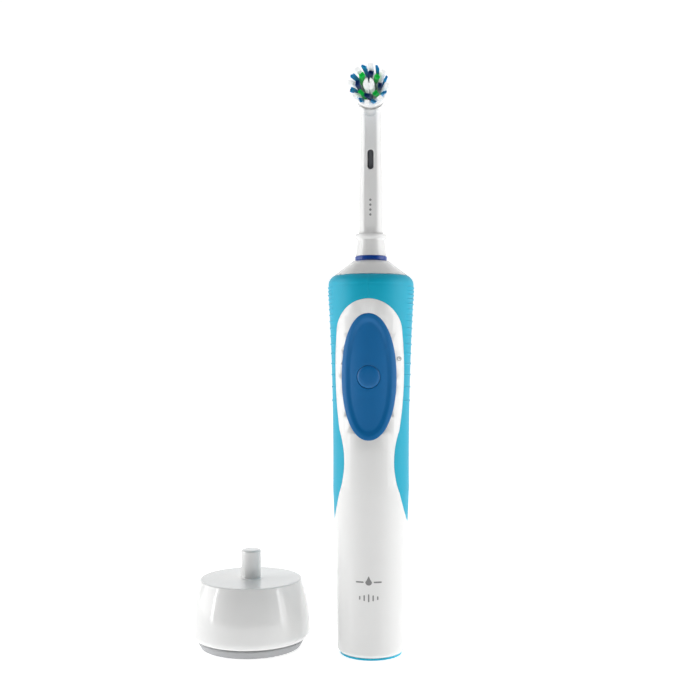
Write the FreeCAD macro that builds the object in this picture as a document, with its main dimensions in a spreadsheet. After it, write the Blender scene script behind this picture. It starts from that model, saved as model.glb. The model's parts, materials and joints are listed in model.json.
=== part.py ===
import FreeCAD, Part
import math
import os
import re

import Sketcher

# An electric toothbrush that stands beside its charger, in millimetres, +Z up.
# The origin is the centre of the charger's foot, on the surface it stands on. The handle's axis is
# brush_x to the right of there and a little to the front, and its front and the bristles face -Y.

# alias, value, what it is
SIZES = [
    # charger
    ("base_foot_r", 19.8, "base plate, radius on the surface"),
    ("base_edge_r", 21.8, "base plate, radius at the seam"),
    ("base_edge_z", 3.3, "base plate, height of its visible side"),
    ("base_floor", 1.8, "base plate, thickness of its floor"),
    ("seam_gap", 0.5, "open seam between base plate and cover"),
    ("cover_foot_r", 22.5, "cover, radius at its lower edge"),
    ("belly_r", 23.9, "cover, largest radius"),
    ("belly_z", 6.6, "cover, height of the largest radius"),
    ("top_r", 20.3, "cover, radius below the rounded rim"),
    ("top_z", 26.6, "cover, height of the flat top"),
    ("rim_r", 0.8, "cover, rounding of the rim"),
    ("flank_bow", 61.0, "cover, bow radius of its side"),
    ("cover_wall", 2.0, "cover, wall"),
    ("post_r", 4.0, "charging post, radius"),
    ("post_len", 11.3, "charging post, height above the flat top"),
    ("post_round", 1.0, "charging post, rounding of its end"),
    ("post_flare", 0.6, "charging post, fillet at its foot"),
    ("post_wall", 1.2, "charging post, wall"),
    ("inlet_r", 2.4, "cord inlet, bore radius"),
    ("inlet_z", 10.9, "cord inlet, height of its axis"),
    ("inlet_boss", 1.4, "cord inlet, wall of its inner boss"),
    ("inlet_len", 5.5, "cord inlet, length of the boss and the wall"),
    ("ledge", 1.2, "step that carries the charger's circuit board"),
    ("board_t", 1.2, "circuit boards, thickness"),
    ("snug", 0.05, "clearance between pieces that are fixed together"),
    ("coil_z", 11.0, "primary coil, height of its lower flange"),
    ("coil_r", 10.5, "primary coil, flange radius"),
    ("flange_t", 1.0, "bobbin flanges and hubs, thickness"),
    ("winding_back", 0.8, "how far a winding stays inside its flanges"),
    ("capacitor_r", 2.8, "charger capacitor, radius"),
    ("capacitor_len", 11.0, "charger capacitor, height"),
    ("part_ring", 14.0, "distance of the board's parts from the centre"),
    ("transistor_w", 5.0, "charger transistor, width"),
    ("transistor_t", 2.4, "charger transistor, thickness"),
    ("transistor_len", 7.0, "charger transistor, height"),
    # handle, outside
    ("brush_x", 48.4, "distance of the handle's axis from the charger's to the right"),
    ("brush_y", -5.6, "distance of the handle's axis from the charger's to the back"),
    ("grip_r", 13.1, "handle, radius of its lower end"),
    ("foot_inset", 0.9, "handle, how far the lower edge is drawn in"),
    ("foot_z", 2.6, "handle, height of the lower rounding"),
    ("foot_bow", 2.1, "handle, radius of the lower rounding"),
    ("cap_band", 0.9, "bottom cap, visible thickness"),
    ("low_z", 41.0, "handle, first change of taper"),
    ("low_swell", 0.75, "handle, growth of radius up to low_z"),
    ("waist_z", 64.0, "handle, second change of taper"),
    ("waist_swell", 1.7, "handle, growth of radius up to waist_z"),
    ("shoulder_z", 138.0, "handle, end of the bowed grip"),
    ("shoulder_swell", 3.4, "handle, growth of radius up to shoulder_z"),
    ("grip_bow", 1140.0, "handle, hollow bow radius of the grip"),
    ("crown_rise", 5.0, "handle, height of the crown above the shoulder"),
    ("crown_swell", 3.5, "handle, growth of radius up to the crown"),
    ("crown_bow", 70.0, "handle, bow between shoulder and crown"),
    ("lip_rise", 8.2, "handle, height of the lip above the shoulder"),
    ("lip_swell", 1.5, "handle, growth of radius at the lip"),
    ("lip_bow", 4.0, "handle, rounding between crown and lip"),
    ("cone_rise", 8.6, "handle, height of the cone's foot above the shoulder"),
    ("cone_swell", 1.1, "handle, growth of radius at the cone's foot"),
    ("cone_len", 5.4, "handle, height of the cone"),
    ("cone_top_r", 7.1, "handle, radius of the cone's flat top"),
    ("stub_r", 4.2, "stub that the brush head is pushed on, radius"),
    ("stub_len", 5.0, "stub that the brush head is pushed on, height"),
    ("housing_wall", 1.9, "housing, wall at its lower end"),
    # soft grip
    ("sleeve_t", 1.2, "soft grip, thickness"),
    ("point_z", 51.0, "soft grip, height of its points on the sides"),
    ("tongue_bow", 38.0, "soft grip, bow radius of its lower edge at the back"),
    ("window_half", 12.5, "front window, radius of its round top"),
    ("window_round_z", 124.3, "front window, height where the round top begins"),
    ("window_low_half", 11.4, "front window, half width below the switch pad"),
    ("window_low_z", 87.0, "front window, height of that width"),
    ("window_bow", 158.0, "front window, bow beside the switch pad"),
    ("pinch_half", 11.5, "front window, half width below its waist"),
    ("pinch_z", 63.0, "front window, height of that width"),
    ("pinch_bow", 36.9, "front window, hollow bow of its waist"),
    ("flare_half", 15.2, "front window, half width where it leaves the sides"),
    ("flare_z", 46.7, "front window, height of that width"),
    ("rib_top_z", 141.5, "ribs, height of the uppermost"),
    ("rib_pitch", 1.37, "ribs, first pitch"),
    ("rib_growth", 1.1, "ribs, growth of each pitch over the last"),
    ("rib_w", 0.7, "ribs, width"),
    ("rib_h", 0.35, "ribs, height"),
    ("rib_reach", 9.0, "ribs, reach to the front and the back of the middle"),
    # switch
    ("pad_z", 107.4, "switch pad, height of its centre"),
    ("pad_half_w", 10.4, "switch pad, half width"),
    ("pad_half_h", 23.9, "switch pad, half height"),
    ("pad_t", 1.5, "switch pad, thickness below the handle's surface"),
    ("pad_proud", 0.15, "switch pad, how far its rim stands proud"),
    ("pad_rim", 1.6, "switch pad, width of its rim"),
    ("dish_depth", 0.6, "switch pad, depth of the dish in it"),
    ("button_r", 4.3, "power button, radius"),
    ("button_gap", 0.15, "power button, clearance round it"),
    ("button_face", 0.1, "power button, its face below the handle's surface"),
    ("button_len", 2.9, "power button, thickness of its head"),
    ("button_travel", 0.5, "power button, travel"),
    ("stem_r", 1.6, "power button, radius of its stem"),
    ("switch_w", 6.0, "tact switch, width"),
    ("switch_t", 1.5, "tact switch, thickness"),
    ("plunger_r", 1.5, "tact switch, plunger radius"),
    ("plunger_len", 0.4, "tact switch, plunger length"),
    # handle, inside
    ("cap_upstand", 7.5, "bottom cap, height of its ring in the housing"),
    ("cap_wall", 2.3, "bottom cap, wall of its ring"),
    ("cap_floor", 2.2, "bottom cap, thickness of its floor"),
    ("socket_gap", 0.4, "charging socket, clearance round the post"),
    ("socket_wall", 1.2, "charging socket, wall"),
    ("seal_z", 5.2, "bottom cap seal, height"),
    ("seal_r", 0.7, "bottom cap seal, section radius"),
    ("bobbin_len", 12.5, "charging bobbin, height"),
    ("bobbin_r", 9.8, "charging bobbin, flange radius"),
    ("chassis_gap", 0.2, "clearance between chassis and housing"),
    ("chassis_front", 5.0, "chassis, its open front"),
    ("plate_t", 3.0, "chassis, thickness of its cross plates"),
    ("tab_t", 0.4, "battery tabs, thickness"),
    ("tab_w", 6.0, "battery tabs, width"),
    ("battery_r", 7.1, "battery cell, radius"),
    ("battery_len", 49.0, "battery cell, length without its button"),
    ("battery_button_r", 2.75, "battery cell, radius of its button"),
    ("battery_button_len", 1.0, "battery cell, length of its button"),
    ("board_back", 7.8, "handle circuit board, distance of its back"),
    ("board_half", 6.5, "handle circuit board, half width"),
    ("board_low_z", 24.0, "handle circuit board, lower edge"),
    ("motor_r", 10.0, "motor, radius of its round sides"),
    ("motor_flat", 7.5, "motor, distance of its flats"),
    ("motor_len", 25.0, "motor can, length"),
    ("motor_wall", 0.8, "motor can, wall"),
    ("motor_cap_t", 4.0, "motor end cap, thickness"),
    ("motor_shaft_r", 1.0, "motor shaft, radius"),
    ("magnet_in_r", 7.2, "motor magnets, inner radius"),
    ("armature_r", 6.6, "armature, radius"),
    ("armature_end", 3.0, "armature, clearance at each end"),
    ("bracket_t", 2.5, "motor bracket, thickness"),
    ("pinion_hole_r", 3.0, "motor bracket, hole round the motor shaft"),
    ("screw_x", 6.5, "bracket screws, distance from the middle"),
    ("screw_r", 0.9, "bracket screws, thread radius"),
    ("screw_head_r", 1.6, "bracket screws, head radius"),
    ("screw_head_t", 1.0, "bracket screws, head height"),
    ("gear_module", 0.5, "gear train, module"),
    ("pinion_teeth", 8, "pinion, number of teeth"),
    ("gear_teeth", 14, "crank gear, number of teeth"),
    ("gear_t", 3.0, "gears, thickness"),
    ("gear_lift", 1.2, "gears, height above the bracket"),
    ("tooth_share", 0.36, "teeth, width as a share of the pitch, at the pitch circle"),
    ("axle_r", 1.0, "gear axle, radius"),
    ("axle_in", 2.2, "gear axle, depth in the gear"),
    ("running", 0.05, "clearance round a turning shaft"),
    ("crank_throw", 1.22, "crank pin, distance from the gear's axis"),
    ("crank_r", 0.6, "crank pin, radius"),
    ("crank_len", 2.0, "crank pin, length"),
    ("lever_lift", 0.25, "rocker lever, clearance above the crank pin"),
    ("lever_t", 2.0, "rocker lever, thickness"),
    ("lever_hub_r", 3.1, "rocker lever, hub radius"),
    ("lever_half", 2.2, "rocker lever, half width of its arm"),
    ("lever_end", 1.1, "rocker lever, material beyond its slot"),
    ("slot_play", 0.2, "rocker lever, play of the pin's path in the slot"),
    ("shaft_r", 2.0, "drive shaft, radius"),
    ("shaft_out", 21.0, "drive shaft, length above the cone"),
    ("shaft_flat", 1.4, "drive shaft, distance of its flat"),
    ("shaft_gap", 0.5, "clearance round the drive shaft in the stub"),
    ("bearing_t", 1.6, "bearings, wall"),
    ("bearing_collar", 1.0, "lower bearing, collar"),
    ("bearing_gap", 2.5, "clearance between rocker lever and bearing plate"),
    ("bearing_len", 4.0, "upper bearing, length"),
    ("seal_len", 2.8, "shaft seal, length"),
    ("roof_slope", 7.0, "housing, height of the sloping roof inside"),
    ("roof_r", 8.0, "housing, radius at the top of that slope"),
    # brush head
    ("ring_r", 6.2, "colour ring, radius"),
    ("ring_h", 2.0, "colour ring, height"),
    ("ring_round", 0.5, "colour ring, rounding"),
    ("fit_gap", 0.1, "clearance between the stub and the brush head"),
    ("skirt_r", 5.9, "neck, radius of its skirt"),
    ("skirt_top_r", 5.25, "neck, radius at the top of its skirt"),
    ("skirt_h", 6.4, "neck, height of its skirt"),
    ("flange_r", 6.2, "neck, radius of its flange"),
    ("flange_h", 1.7, "neck, height of its flange"),
    ("flange_step", 0.5, "neck, slope under the flange"),
    ("neck_low_r", 4.7, "neck, radius above the flange"),
    ("neck_low_z", 180.6, "neck, end of that radius"),
    ("neck_mid_r", 4.3, "neck, radius at the window"),
    ("neck_mid_z", 189.6, "neck, height of that radius"),
    ("neck_top_r", 4.1, "neck, radius below the head"),
    ("neck_top_z", 200.6, "neck, height of that radius"),
    ("socket_h", 23.0, "neck, top of its wide bore above the cone"),
    ("socket_bore_r", 3.5, "neck, wide bore round the drive rod's socket"),
    ("neck_bore_r", 2.6, "neck, narrow bore"),
    ("tip_bore_r", 1.6, "neck, bore behind the disc"),
    ("window_z", 191.3, "neck window, height of its middle"),
    ("window_w", 2.4, "neck window, width"),
    ("window_h", 7.7, "neck window, height"),
    ("disc_z", 217.7, "height of the disc's axis"),
    ("head_r", 6.4, "neck, radius of the round head"),
    ("head_front", 1.9, "neck, front of the round head"),
    ("head_back", 4.1, "neck, back of the round head"),
    ("head_round", 1.2, "neck, rounding of the head's back edge"),
    ("disc_gap", 0.3, "clearance between head and disc"),
    ("disc_r", 6.6, "disc carrier, radius"),
    ("disc_t", 3.3, "disc carrier, thickness"),
    ("disc_round", 0.7, "disc carrier, rounding of its front edge"),
    ("disc_axle_r", 0.7, "disc axle, radius"),
    ("disc_axle_in", 1.9, "disc axle, depth in the disc"),
    ("disc_axle_out", 1.6, "disc axle, reach behind the middle"),
    ("nose_r", 0.6, "crank nose, radius"),
    ("nose_drop", 1.6, "crank nose, distance below the disc's axis"),
    ("nose_reach", 3.6, "crank nose, reach from the rod's axis"),
    ("nose_play", 0.35, "crank nose, clearance in its slot"),
    ("rod_r", 2.0, "drive rod, radius"),
    ("rod_tip_r", 1.2, "drive rod, radius behind the disc"),
    ("rod_tip_len", 7.5, "drive rod, length of its slim tip"),
    ("rod_socket_r", 3.0, "drive rod, radius of its socket"),
    ("rod_socket_gap", 1.2, "drive rod, height of its socket above the stub"),
    ("base_r", 3.1, "centre base, radius"),
    ("base_h", 0.8, "centre base, height"),
    ("tuft_len", 8.8, "tufts, length"),
    ("tuft_sink", 1.2, "tufts, depth in the disc"),
    ("outer_tuft_r", 5.35, "outer tufts, distance from the axis at their feet"),
    ("inner_tuft_r", 3.75, "inner tufts, distance from the axis at their feet"),
    ("outer_tuft_w", 2.0, "outer tufts, width round the disc"),
    ("white_tuft_w", 1.4, "white tufts, width round the disc"),
    ("outer_tuft_d", 1.5, "outer tufts, depth towards the axis"),
    ("inner_tuft_w", 1.5, "inner tufts, width round the disc"),
    ("inner_tuft_d", 1.1, "inner tufts, depth towards the axis"),
    ("outer_lean", 11.0, "outer tufts, lean outwards in degrees"),
    ("inner_lean", 4.0, "inner tufts, lean outwards in degrees"),
    ("centre_tuft_w", 1.8, "centre tufts, width"),
    ("centre_tuft_h", 3.9, "centre tufts, height"),
    ("centre_gap", 0.5, "centre tufts, gap between them"),
]
RIB_COUNT = 16
# Directions of the tufts round the disc, in degrees, counter-clockwise from +X as seen from the front
CYAN_TUFTS = [105.5, 61.0, 16.5, -29.5, -73.0, -117.0, 198.0, 151.0]
WHITE_TUFTS = [84.0, 39.0, -6.0, -51.0, -95.0, -139.5, 174.5, 128.0]
NAVY_TUFTS = [77.0, -9.0, -98.0, 175.0]
GREEN_TUFTS = [126.0, 39.0, -55.0, -134.0]

V = FreeCAD.Vector
doc = FreeCAD.newDocument("toothbrush")
sheet = doc.addObject("Spreadsheet::Sheet", "sizes")
for row, (alias, value, meaning) in enumerate(SIZES, start=1):
    sheet.set(f"A{row}", meaning)
    sheet.set(f"B{row}", str(value))
    sheet.setAlias(f"B{row}", alias)
doc.recompute()
ALIASES = {alias for alias, value, meaning in SIZES}
pieces = []


class Axis:
    """Where the axis of the unit that is being built stands."""
    x = "0"
    y = "0"


def value_of(expression):
    """The number that an expression over the sheet's aliases has."""
    return float(sheet.evalExpression(str(expression)))


def bind(item, path, expression):
    """Tie a property to an expression over the sheet's aliases."""
    text = re.sub(r"[A-Za-z_]\w*", lambda m: "sizes." + m[0] if m[0] in ALIASES else m[0], str(expression))
    item.setExpression(path, text)


def place(item, x="0", y="0", z="0", turn=None):
    """Put an item at x, y, z from the unit's axis, with a fixed turn if one is given."""
    x = f"{Axis.x} + {x}"
    y = f"{Axis.y} + {y}"
    item.Placement = FreeCAD.Placement(V(value_of(x), value_of(y), value_of(z)), turn or FreeCAD.Rotation())
    for axis, expression in zip("xyz", (x, y, z)):
        bind(item, "Placement.Base." + axis, expression)
    return item


def piece(label, item):
    """Name a finished sub-part and keep it for the export."""
    item.Label = label
    pieces.append(item)
    return item


def outline(body, name, role, corners, lift="0"):
    """A closed sketch on one of a body's planes, lifted along the plane's normal.

    A corner is (x, y), or (x, y, radius, side) where the edge that arrives there is an arc that bulges to
    the left (+1) or the right (-1) of the way it goes. Every corner and radius is bound to the sheet.
    """
    sketch = body.newObject("Sketcher::SketchObject", name)
    plane = [feature for feature in body.Origin.OriginFeatures if feature.Role == role][0]
    sketch.AttachmentSupport = [(plane, "")]
    sketch.MapMode = "FlatFace"
    bind(sketch, "AttachmentOffset.Base.z", lift)
    points = [V(value_of(corner[0]), value_of(corner[1]), 0) for corner in corners]
    edges = []
    ends = []
    for i, corner in enumerate(corners):
        start = points[i - 1]
        end = points[i]
        line = Part.LineSegment(start, end)
        stops = (1, 2)
        if len(corner) > 2:
            radius = value_of(corner[2])
            chord = end - start
            sagitta = radius - math.sqrt(radius ** 2 - chord.Length ** 2 / 4)
            left = V(-chord.y, chord.x, 0).normalize()
            middle = (start + end) * 0.5 + left * sagitta * corner[3]
            line = Part.Arc(start, middle, end)
            if corner[3] > 0:
                # an arc is always drawn counter-clockwise
                line = Part.Arc(end, middle, start)
                stops = (2, 1)
        edges.append(sketch.addGeometry(line))
        ends.append(stops)
    for i, corner in enumerate(corners):
        after = (i + 1) % len(corners)
        sketch.addConstraint(Sketcher.Constraint("Coincident", edges[i], ends[i][1], edges[after], ends[after][0]))
        for kind, distance, expression in zip(("DistanceX", "DistanceY"), points[i][:2], corner[:2]):
            held = sketch.addConstraint(Sketcher.Constraint(kind, -1, 1, edges[i], ends[i][1], distance))
            bind(sketch, f"Constraints[{held}]", expression)
        if len(corner) > 2:
            bow = sketch.addConstraint(Sketcher.Constraint("Radius", edges[i], value_of(corner[2])))
            bind(sketch, f"Constraints[{bow}]", corner[2])
    return sketch


def turned(name, corners, turn=None, x="0", y="0", z="0"):
    """A body of revolution about Z from corners (radius, height)."""
    body = doc.addObject("PartDesign::Body", name)
    revolution = body.newObject("PartDesign::Revolution", name + "_turn")
    section = outline(body, name + "_section", "XZ_Plane", corners)
    revolution.Profile = section
    revolution.ReferenceAxis = (section, ["V_Axis"])
    revolution.Angle = 360
    return place(body, x, y, z, turn)


def prism(name, role, corners, length, lift="0"):
    """A body padded from a closed outline, along the normal of its plane."""
    body = doc.addObject("PartDesign::Body", name)
    pad = body.newObject("PartDesign::Pad", name + "_pad")
    pad.Profile = outline(body, name + "_outline", role, corners, lift)
    bind(pad, "Length", length)
    return place(body)


def tube(name, outer, inner, low, high):
    """A turned ring or, with inner "0", a disc."""
    return turned(name, [(inner, low), (outer, low), (outer, high), (inner, high)])


TO_BACK = FreeCAD.Rotation(V(1, 0, 0), -90)
TO_FRONT = FreeCAD.Rotation(V(1, 0, 0), 90)


def rod(name, radius, length, x="0", y="0", z="0", turn=None):
    """A cylinder that starts at x, y, z and runs along +Z, or to the back or the front."""
    item = doc.addObject("Part::Cylinder", name)
    bind(item, "Radius", radius)
    bind(item, "Height", length)
    return place(item, x, y, z, turn)


def block(name, size, corner):
    """A box of size (x, y, z) with its lowest corner at corner."""
    item = doc.addObject("Part::Box", name)
    for side, expression in zip(("Length", "Width", "Height"), size):
        bind(item, side, expression)
    return place(item, *corner)


def cut(name, base, *tools):
    """The base with every tool taken away."""
    for number, tool in enumerate(tools, start=1):
        result = doc.addObject("Part::Cut", f"{name}_cut_{number}")
        result.Base = base
        result.Tool = tool
        base = result
    return base


def common(name, one, other):
    """What two items share."""
    result = doc.addObject("Part::Common", name)
    result.Base = one
    result.Tool = other
    return result


def fuse(name, *items):
    """Several items joined to one solid."""
    result = doc.addObject("Part::MultiFuse", name)
    result.Shapes = list(items)
    result.Refine = True
    return result


def group(name, items):
    """Separate solids kept in one item."""
    result = doc.addObject("Part::Compound", name)
    result.Links = list(items)
    return result


# Heights and radii that several pieces share, all from the sheet
COVER_FOOT_Z = "(base_edge_z + seam_gap)"
POST_TOP_Z = "(top_z + post_len)"
COVER_IN_R = "(cover_foot_r - cover_wall)"
LEDGE_Z = "(base_floor + ledge)"
CHARGER_BOARD_Z = f"({LEDGE_Z} + board_t)"
CORE_R = "(post_r - post_wall - snug)"
BORE_R = "(grip_r - housing_wall)"
CROWN_Z = "(shoulder_z + crown_rise)"
LIP_Z = "(shoulder_z + lip_rise)"
CONE_Z = "(shoulder_z + cone_rise)"
CONE_TOP_Z = f"({CONE_Z} + cone_len)"
STUB_TOP_Z = f"({CONE_TOP_Z} + stub_len)"
SOCKET_R = "(post_r + socket_gap)"
SOCKET_DEPTH = "(post_len + 2 * socket_gap)"
LOWER_PLATE_Z = "(cap_upstand + bobbin_len)"
BATTERY_Z = f"({LOWER_PLATE_Z} + plate_t + tab_t)"
UPPER_TAB_Z = f"({BATTERY_Z} + battery_len + battery_button_len)"
MIDDLE_PLATE_Z = f"({UPPER_TAB_Z} + tab_t)"
MOTOR_CAP_Z = f"({MIDDLE_PLATE_Z} + plate_t)"
CAN_Z = f"({MOTOR_CAP_Z} + motor_cap_t)"
BRACKET_Z = f"({CAN_Z} + motor_len)"
GEAR_Z = f"({BRACKET_Z} + bracket_t + gear_lift)"
CRANK_TOP_Z = f"({GEAR_Z} + gear_t + crank_len)"
LEVER_Z = f"({CRANK_TOP_Z} + lever_lift)"
BEARING_PLATE_Z = f"({LEVER_Z} + lever_t + bearing_gap)"
CHASSIS_TOP_Z = f"({BEARING_PLATE_Z} + plate_t)"
ROOF_Z = "(shoulder_z + roof_slope)"
SEAL_Z = f"({ROOF_Z} + bearing_len)"
GEAR_Y = "(gear_module * (pinion_teeth + gear_teeth) / 2)"
CHASSIS_R = f"({BORE_R} - chassis_gap)"
TROUGH_R = "(motor_r + chassis_gap)"
SHAFT_BORE_R = "(shaft_r + running)"
BEARING_R = f"({SHAFT_BORE_R} + bearing_t)"
BOARD_FRONT = "(board_back + board_t)"
NECK_Z = f"({CONE_TOP_Z} + ring_h)"
FLANGE_Z = f"({NECK_Z} + skirt_h)"
NECK_BORE_Z = f"({CONE_TOP_Z} + socket_h)"
NECK_FOOT_R = "(stub_r + fit_gap)"
ROD_TOP_Z = "(disc_z - nose_drop + nose_r)"
ROD_TIP_Z = f"({ROD_TOP_Z} - rod_tip_len)"
ROD_FOOT_Z = f"({STUB_TOP_Z} + rod_socket_gap)"
SHAFT_TOP_Z = f"({CONE_TOP_Z} + shaft_out)"
DISC_BACK = "(head_front + disc_gap)"
DISC_FRONT = f"({DISC_BACK} + disc_t)"
# The handle's radius at the switch pad's height: a straight taper less the hollow of its bow
PAD_R = ("(grip_r + waist_swell + (shoulder_swell - waist_swell) * (pad_z - waist_z) / (shoulder_z - waist_z)"
         " - (pad_z - waist_z) * (shoulder_z - pad_z) / (2 * grip_bow))")
FAR = "(4 * grip_r)"


# Charger

def charger_cover():
    """The white cover, a turned shell with the cord's inlet at the back, and the hollow post on its top."""
    shell = turned("cover_shell", [
        ("0", f"{POST_TOP_Z} - post_wall"),
        ("post_r - post_wall", f"{POST_TOP_Z} - post_wall"),
        ("post_r - post_wall", "top_z - cover_wall"),
        ("top_r - cover_wall", "top_z - cover_wall"),
        ("belly_r - cover_wall", "belly_z", "flank_bow - cover_wall", 1),
        (COVER_IN_R, COVER_FOOT_Z),
        ("cover_foot_r", COVER_FOOT_Z),
        ("belly_r", "belly_z", "belly_z - base_edge_z", -1),
        ("top_r", "top_z - rim_r", "flank_bow", -1),
        ("top_r - rim_r", "top_z", "rim_r", -1),
        ("post_r + post_flare", "top_z"),
        ("post_r", "top_z + post_flare", "post_flare", 1),
        ("post_r", f"{POST_TOP_Z} - post_round"),
        ("post_r - post_round", POST_TOP_Z, "post_round", -1),
        ("0", POST_TOP_Z),
    ])
    boss = rod("inlet_boss_rod", "inlet_r + inlet_boss", "inlet_len - cover_wall / 2",
               y="belly_r - inlet_len", z="inlet_z", turn=TO_BACK)
    bore = rod("inlet_bore", "inlet_r", "2 * inlet_len",
               y="belly_r - 1.5 * inlet_len", z="inlet_z", turn=TO_BACK)
    above = rod("space_above_top", "post_r + 2 * post_flare", "2 * post_len", z="top_z")
    piece("charging_post", common("charging_post", shell, above))
    piece("charger_cover", cut("charger_cover", fuse("cover_with_boss", shell, boss), bore, above))


def charger_base():
    """The grey base plate, whose ring stands inside the cover and carries the circuit board."""
    ring_r = f"({COVER_IN_R} - snug)"
    piece("charger_base", turned("charger_base", [
        ("0", "0"),
        ("base_foot_r", "0"),
        ("base_edge_r", "base_edge_z"),
        (ring_r, "base_edge_z"),
        (ring_r, f"{COVER_FOOT_Z} + ledge"),
        (f"{ring_r} - flange_t", f"{COVER_FOOT_Z} + ledge"),
        (f"{ring_r} - flange_t", LEDGE_Z),
        (f"{ring_r} - 3 * flange_t", LEDGE_Z),
        (f"{ring_r} - 3 * flange_t", "base_floor"),
        ("0", "base_floor"),
    ]))


def charger_inside():
    """Circuit board with its two large parts, and the coil round the ferrite core in the post."""
    board_r = f"{COVER_IN_R} - flange_t - 3 * snug"
    piece("charger_circuit_board", tube("charger_circuit_board", board_r, "0", LEDGE_Z, CHARGER_BOARD_Z))
    bore_r = f"({CORE_R} + snug)"
    hub_r = f"({bore_r} + flange_t)"
    under_top = "(top_z - cover_wall)"
    piece("primary_bobbin", turned("primary_bobbin", [
        (bore_r, CHARGER_BOARD_Z),
        (hub_r, CHARGER_BOARD_Z),
        (hub_r, "coil_z"),
        ("coil_r", "coil_z"),
        ("coil_r", "coil_z + flange_t"),
        (hub_r, "coil_z + flange_t"),
        (hub_r, f"{under_top} - flange_t"),
        ("coil_r", f"{under_top} - flange_t"),
        ("coil_r", under_top),
        (bore_r, under_top),
    ]))
    piece("primary_coil", tube("primary_coil", "coil_r - winding_back", hub_r,
                               "coil_z + flange_t", f"{under_top} - flange_t"))
    piece("ferrite_core", tube("ferrite_core", CORE_R, "0", CHARGER_BOARD_Z, f"{POST_TOP_Z} - post_wall"))
    piece("charger_capacitor", rod("charger_capacitor", "capacitor_r", "capacitor_len",
                                   x="-(part_ring)", z=CHARGER_BOARD_Z))
    piece("charger_transistor",
          block("charger_transistor", ("transistor_t", "transistor_w", "transistor_len"),
                ("part_ring - transistor_t / 2", "-(transistor_w) / 2", CHARGER_BOARD_Z)))


# Handle, outside

def handle_skin(name, grow):
    """The solid inside the handle's outer surface from low_z up to the lip, made larger by grow."""
    return turned(name, [
        ("0", "low_z"),
        (f"grip_r + low_swell + {grow}", "low_z"),
        (f"grip_r + waist_swell + {grow}", "waist_z"),
        (f"grip_r + shoulder_swell + {grow}", "shoulder_z", f"grip_bow - {grow}", 1),
        (f"grip_r + crown_swell + {grow}", CROWN_Z, f"crown_bow + {grow}", -1),
        (f"grip_r + lip_swell + {grow}", LIP_Z, f"lip_bow + {grow}", -1),
        ("0", LIP_Z),
    ])


def front_window():
    """The white front panel between the sides of the soft grip, as a prism to the front.

    It has a round top, a slight bow beside the switch pad, a narrow waist, and a straight flare that
    leaves the handle at its sides. All that lies below the flare belongs to it.
    """
    round_z = "window_round_z"
    bottom = "low_z - sleeve_t"
    return prism("front_window", "XZ_Plane", [
        ("0", f"{round_z} + window_half", "window_half", 1),
        ("window_half", round_z, "window_half", 1),
        ("window_low_half", "window_low_z", "window_bow", 1),
        ("pinch_half", "pinch_z", "pinch_bow", -1),
        ("flare_half", "flare_z"),
        (FAR, "flare_z"),
        (FAR, bottom),
        (f"-{FAR}", bottom),
        (f"-{FAR}", "flare_z"),
        ("-flare_half", "flare_z"),
        ("-pinch_half", "pinch_z"),
        ("-window_low_half", "window_low_z", "pinch_bow", -1),
        ("-window_half", round_z, "window_bow", 1),
    ], FAR)


def below_tongue():
    """What lies under the grip's lower edge at the back, as a prism from the middle to the back."""
    bottom = "low_z - sleeve_t"
    return prism("below_tongue", "XZ_Plane", [
        (f"-{FAR}", bottom),
        (f"-{FAR}", "point_z"),
        ("-flare_half", "point_z"),
        ("flare_half", "point_z", "tongue_bow", -1),
        (FAR, "point_z"),
        (FAR, bottom),
    ], FAR, lift=f"-{FAR}")


def grip_ribs():
    """Fine ribs across both sides of the grip, closest together near its top."""
    rings = []
    height = "rib_top_z"
    for number in range(RIB_COUNT):
        rings.append(rod(f"rib_ring_{number}", FAR, "rib_w", z=f"{height} - rib_w / 2"))
        height = f"{height} - rib_pitch * rib_growth ^ {number}"
    band = cut("rib_band", handle_skin("rib_outer", "rib_h"), handle_skin("rib_inner", "-(sleeve_t) / 2"))
    reach = block("rib_reach_block", (f"2 * {FAR}", "2 * rib_reach", "shoulder_z"),
                  (f"-{FAR}", "-rib_reach", "low_z"))
    return common("ribs", common("rib_rings", band, group("rib_slabs", rings)), reach)


def grip_sleeve():
    """The soft grip: a skin of the handle with ribs, open at the front window and below its tongue."""
    skin = cut("sleeve_skin", handle_skin("sleeve_outer", "0"), handle_skin("sleeve_inner", "-(sleeve_t)"))
    ribbed = fuse("sleeve_ribbed", skin, grip_ribs())
    return piece("grip_sleeve", cut("grip_sleeve", ribbed, front_window(), below_tongue()))


def oval(name, half_w, half_h):
    """An elliptical prism from the handle's axis to its front, centred on the switch pad."""
    ellipse = doc.addObject("Part::Ellipse", name + "_edge")
    bind(ellipse, "MajorRadius", half_h)
    bind(ellipse, "MinorRadius", half_w)
    place(ellipse, z="pad_z", turn=FreeCAD.Rotation(V(1, 1, 1), -120))
    solid = doc.addObject("Part::Extrusion", name)
    solid.Base = ellipse
    solid.DirMode = "Custom"
    solid.Dir = V(0, -1, 0)
    bind(solid, "LengthFwd", FAR)
    solid.Solid = True
    solid.FaceMakerClass = "Part::FaceMakerBullseye"
    return solid


def switch_pad():
    """The oval pad: a rim a little proud of the handle round a dish, with the button's hole."""
    layer = cut("pad_layer", handle_skin("pad_outer", "pad_proud"), handle_skin("pad_inner", "-(pad_t)"))
    blank = common("pad_blank", layer, oval("pad_oval", "pad_half_w", "pad_half_h"))
    above = cut("dish_layer", handle_skin("dish_outer", "pad_t"), handle_skin("dish_inner", "-(dish_depth)"))
    dish = common("dish", above, oval("dish_oval", "pad_half_w - pad_rim", "pad_half_h - pad_rim"))
    hole = rod("button_hole", "button_r + button_gap", "grip_r", y="-board_back", z="pad_z", turn=TO_FRONT)
    piece("switch_pad", cut("switch_pad", blank, dish, hole))
    return blank, hole


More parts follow.
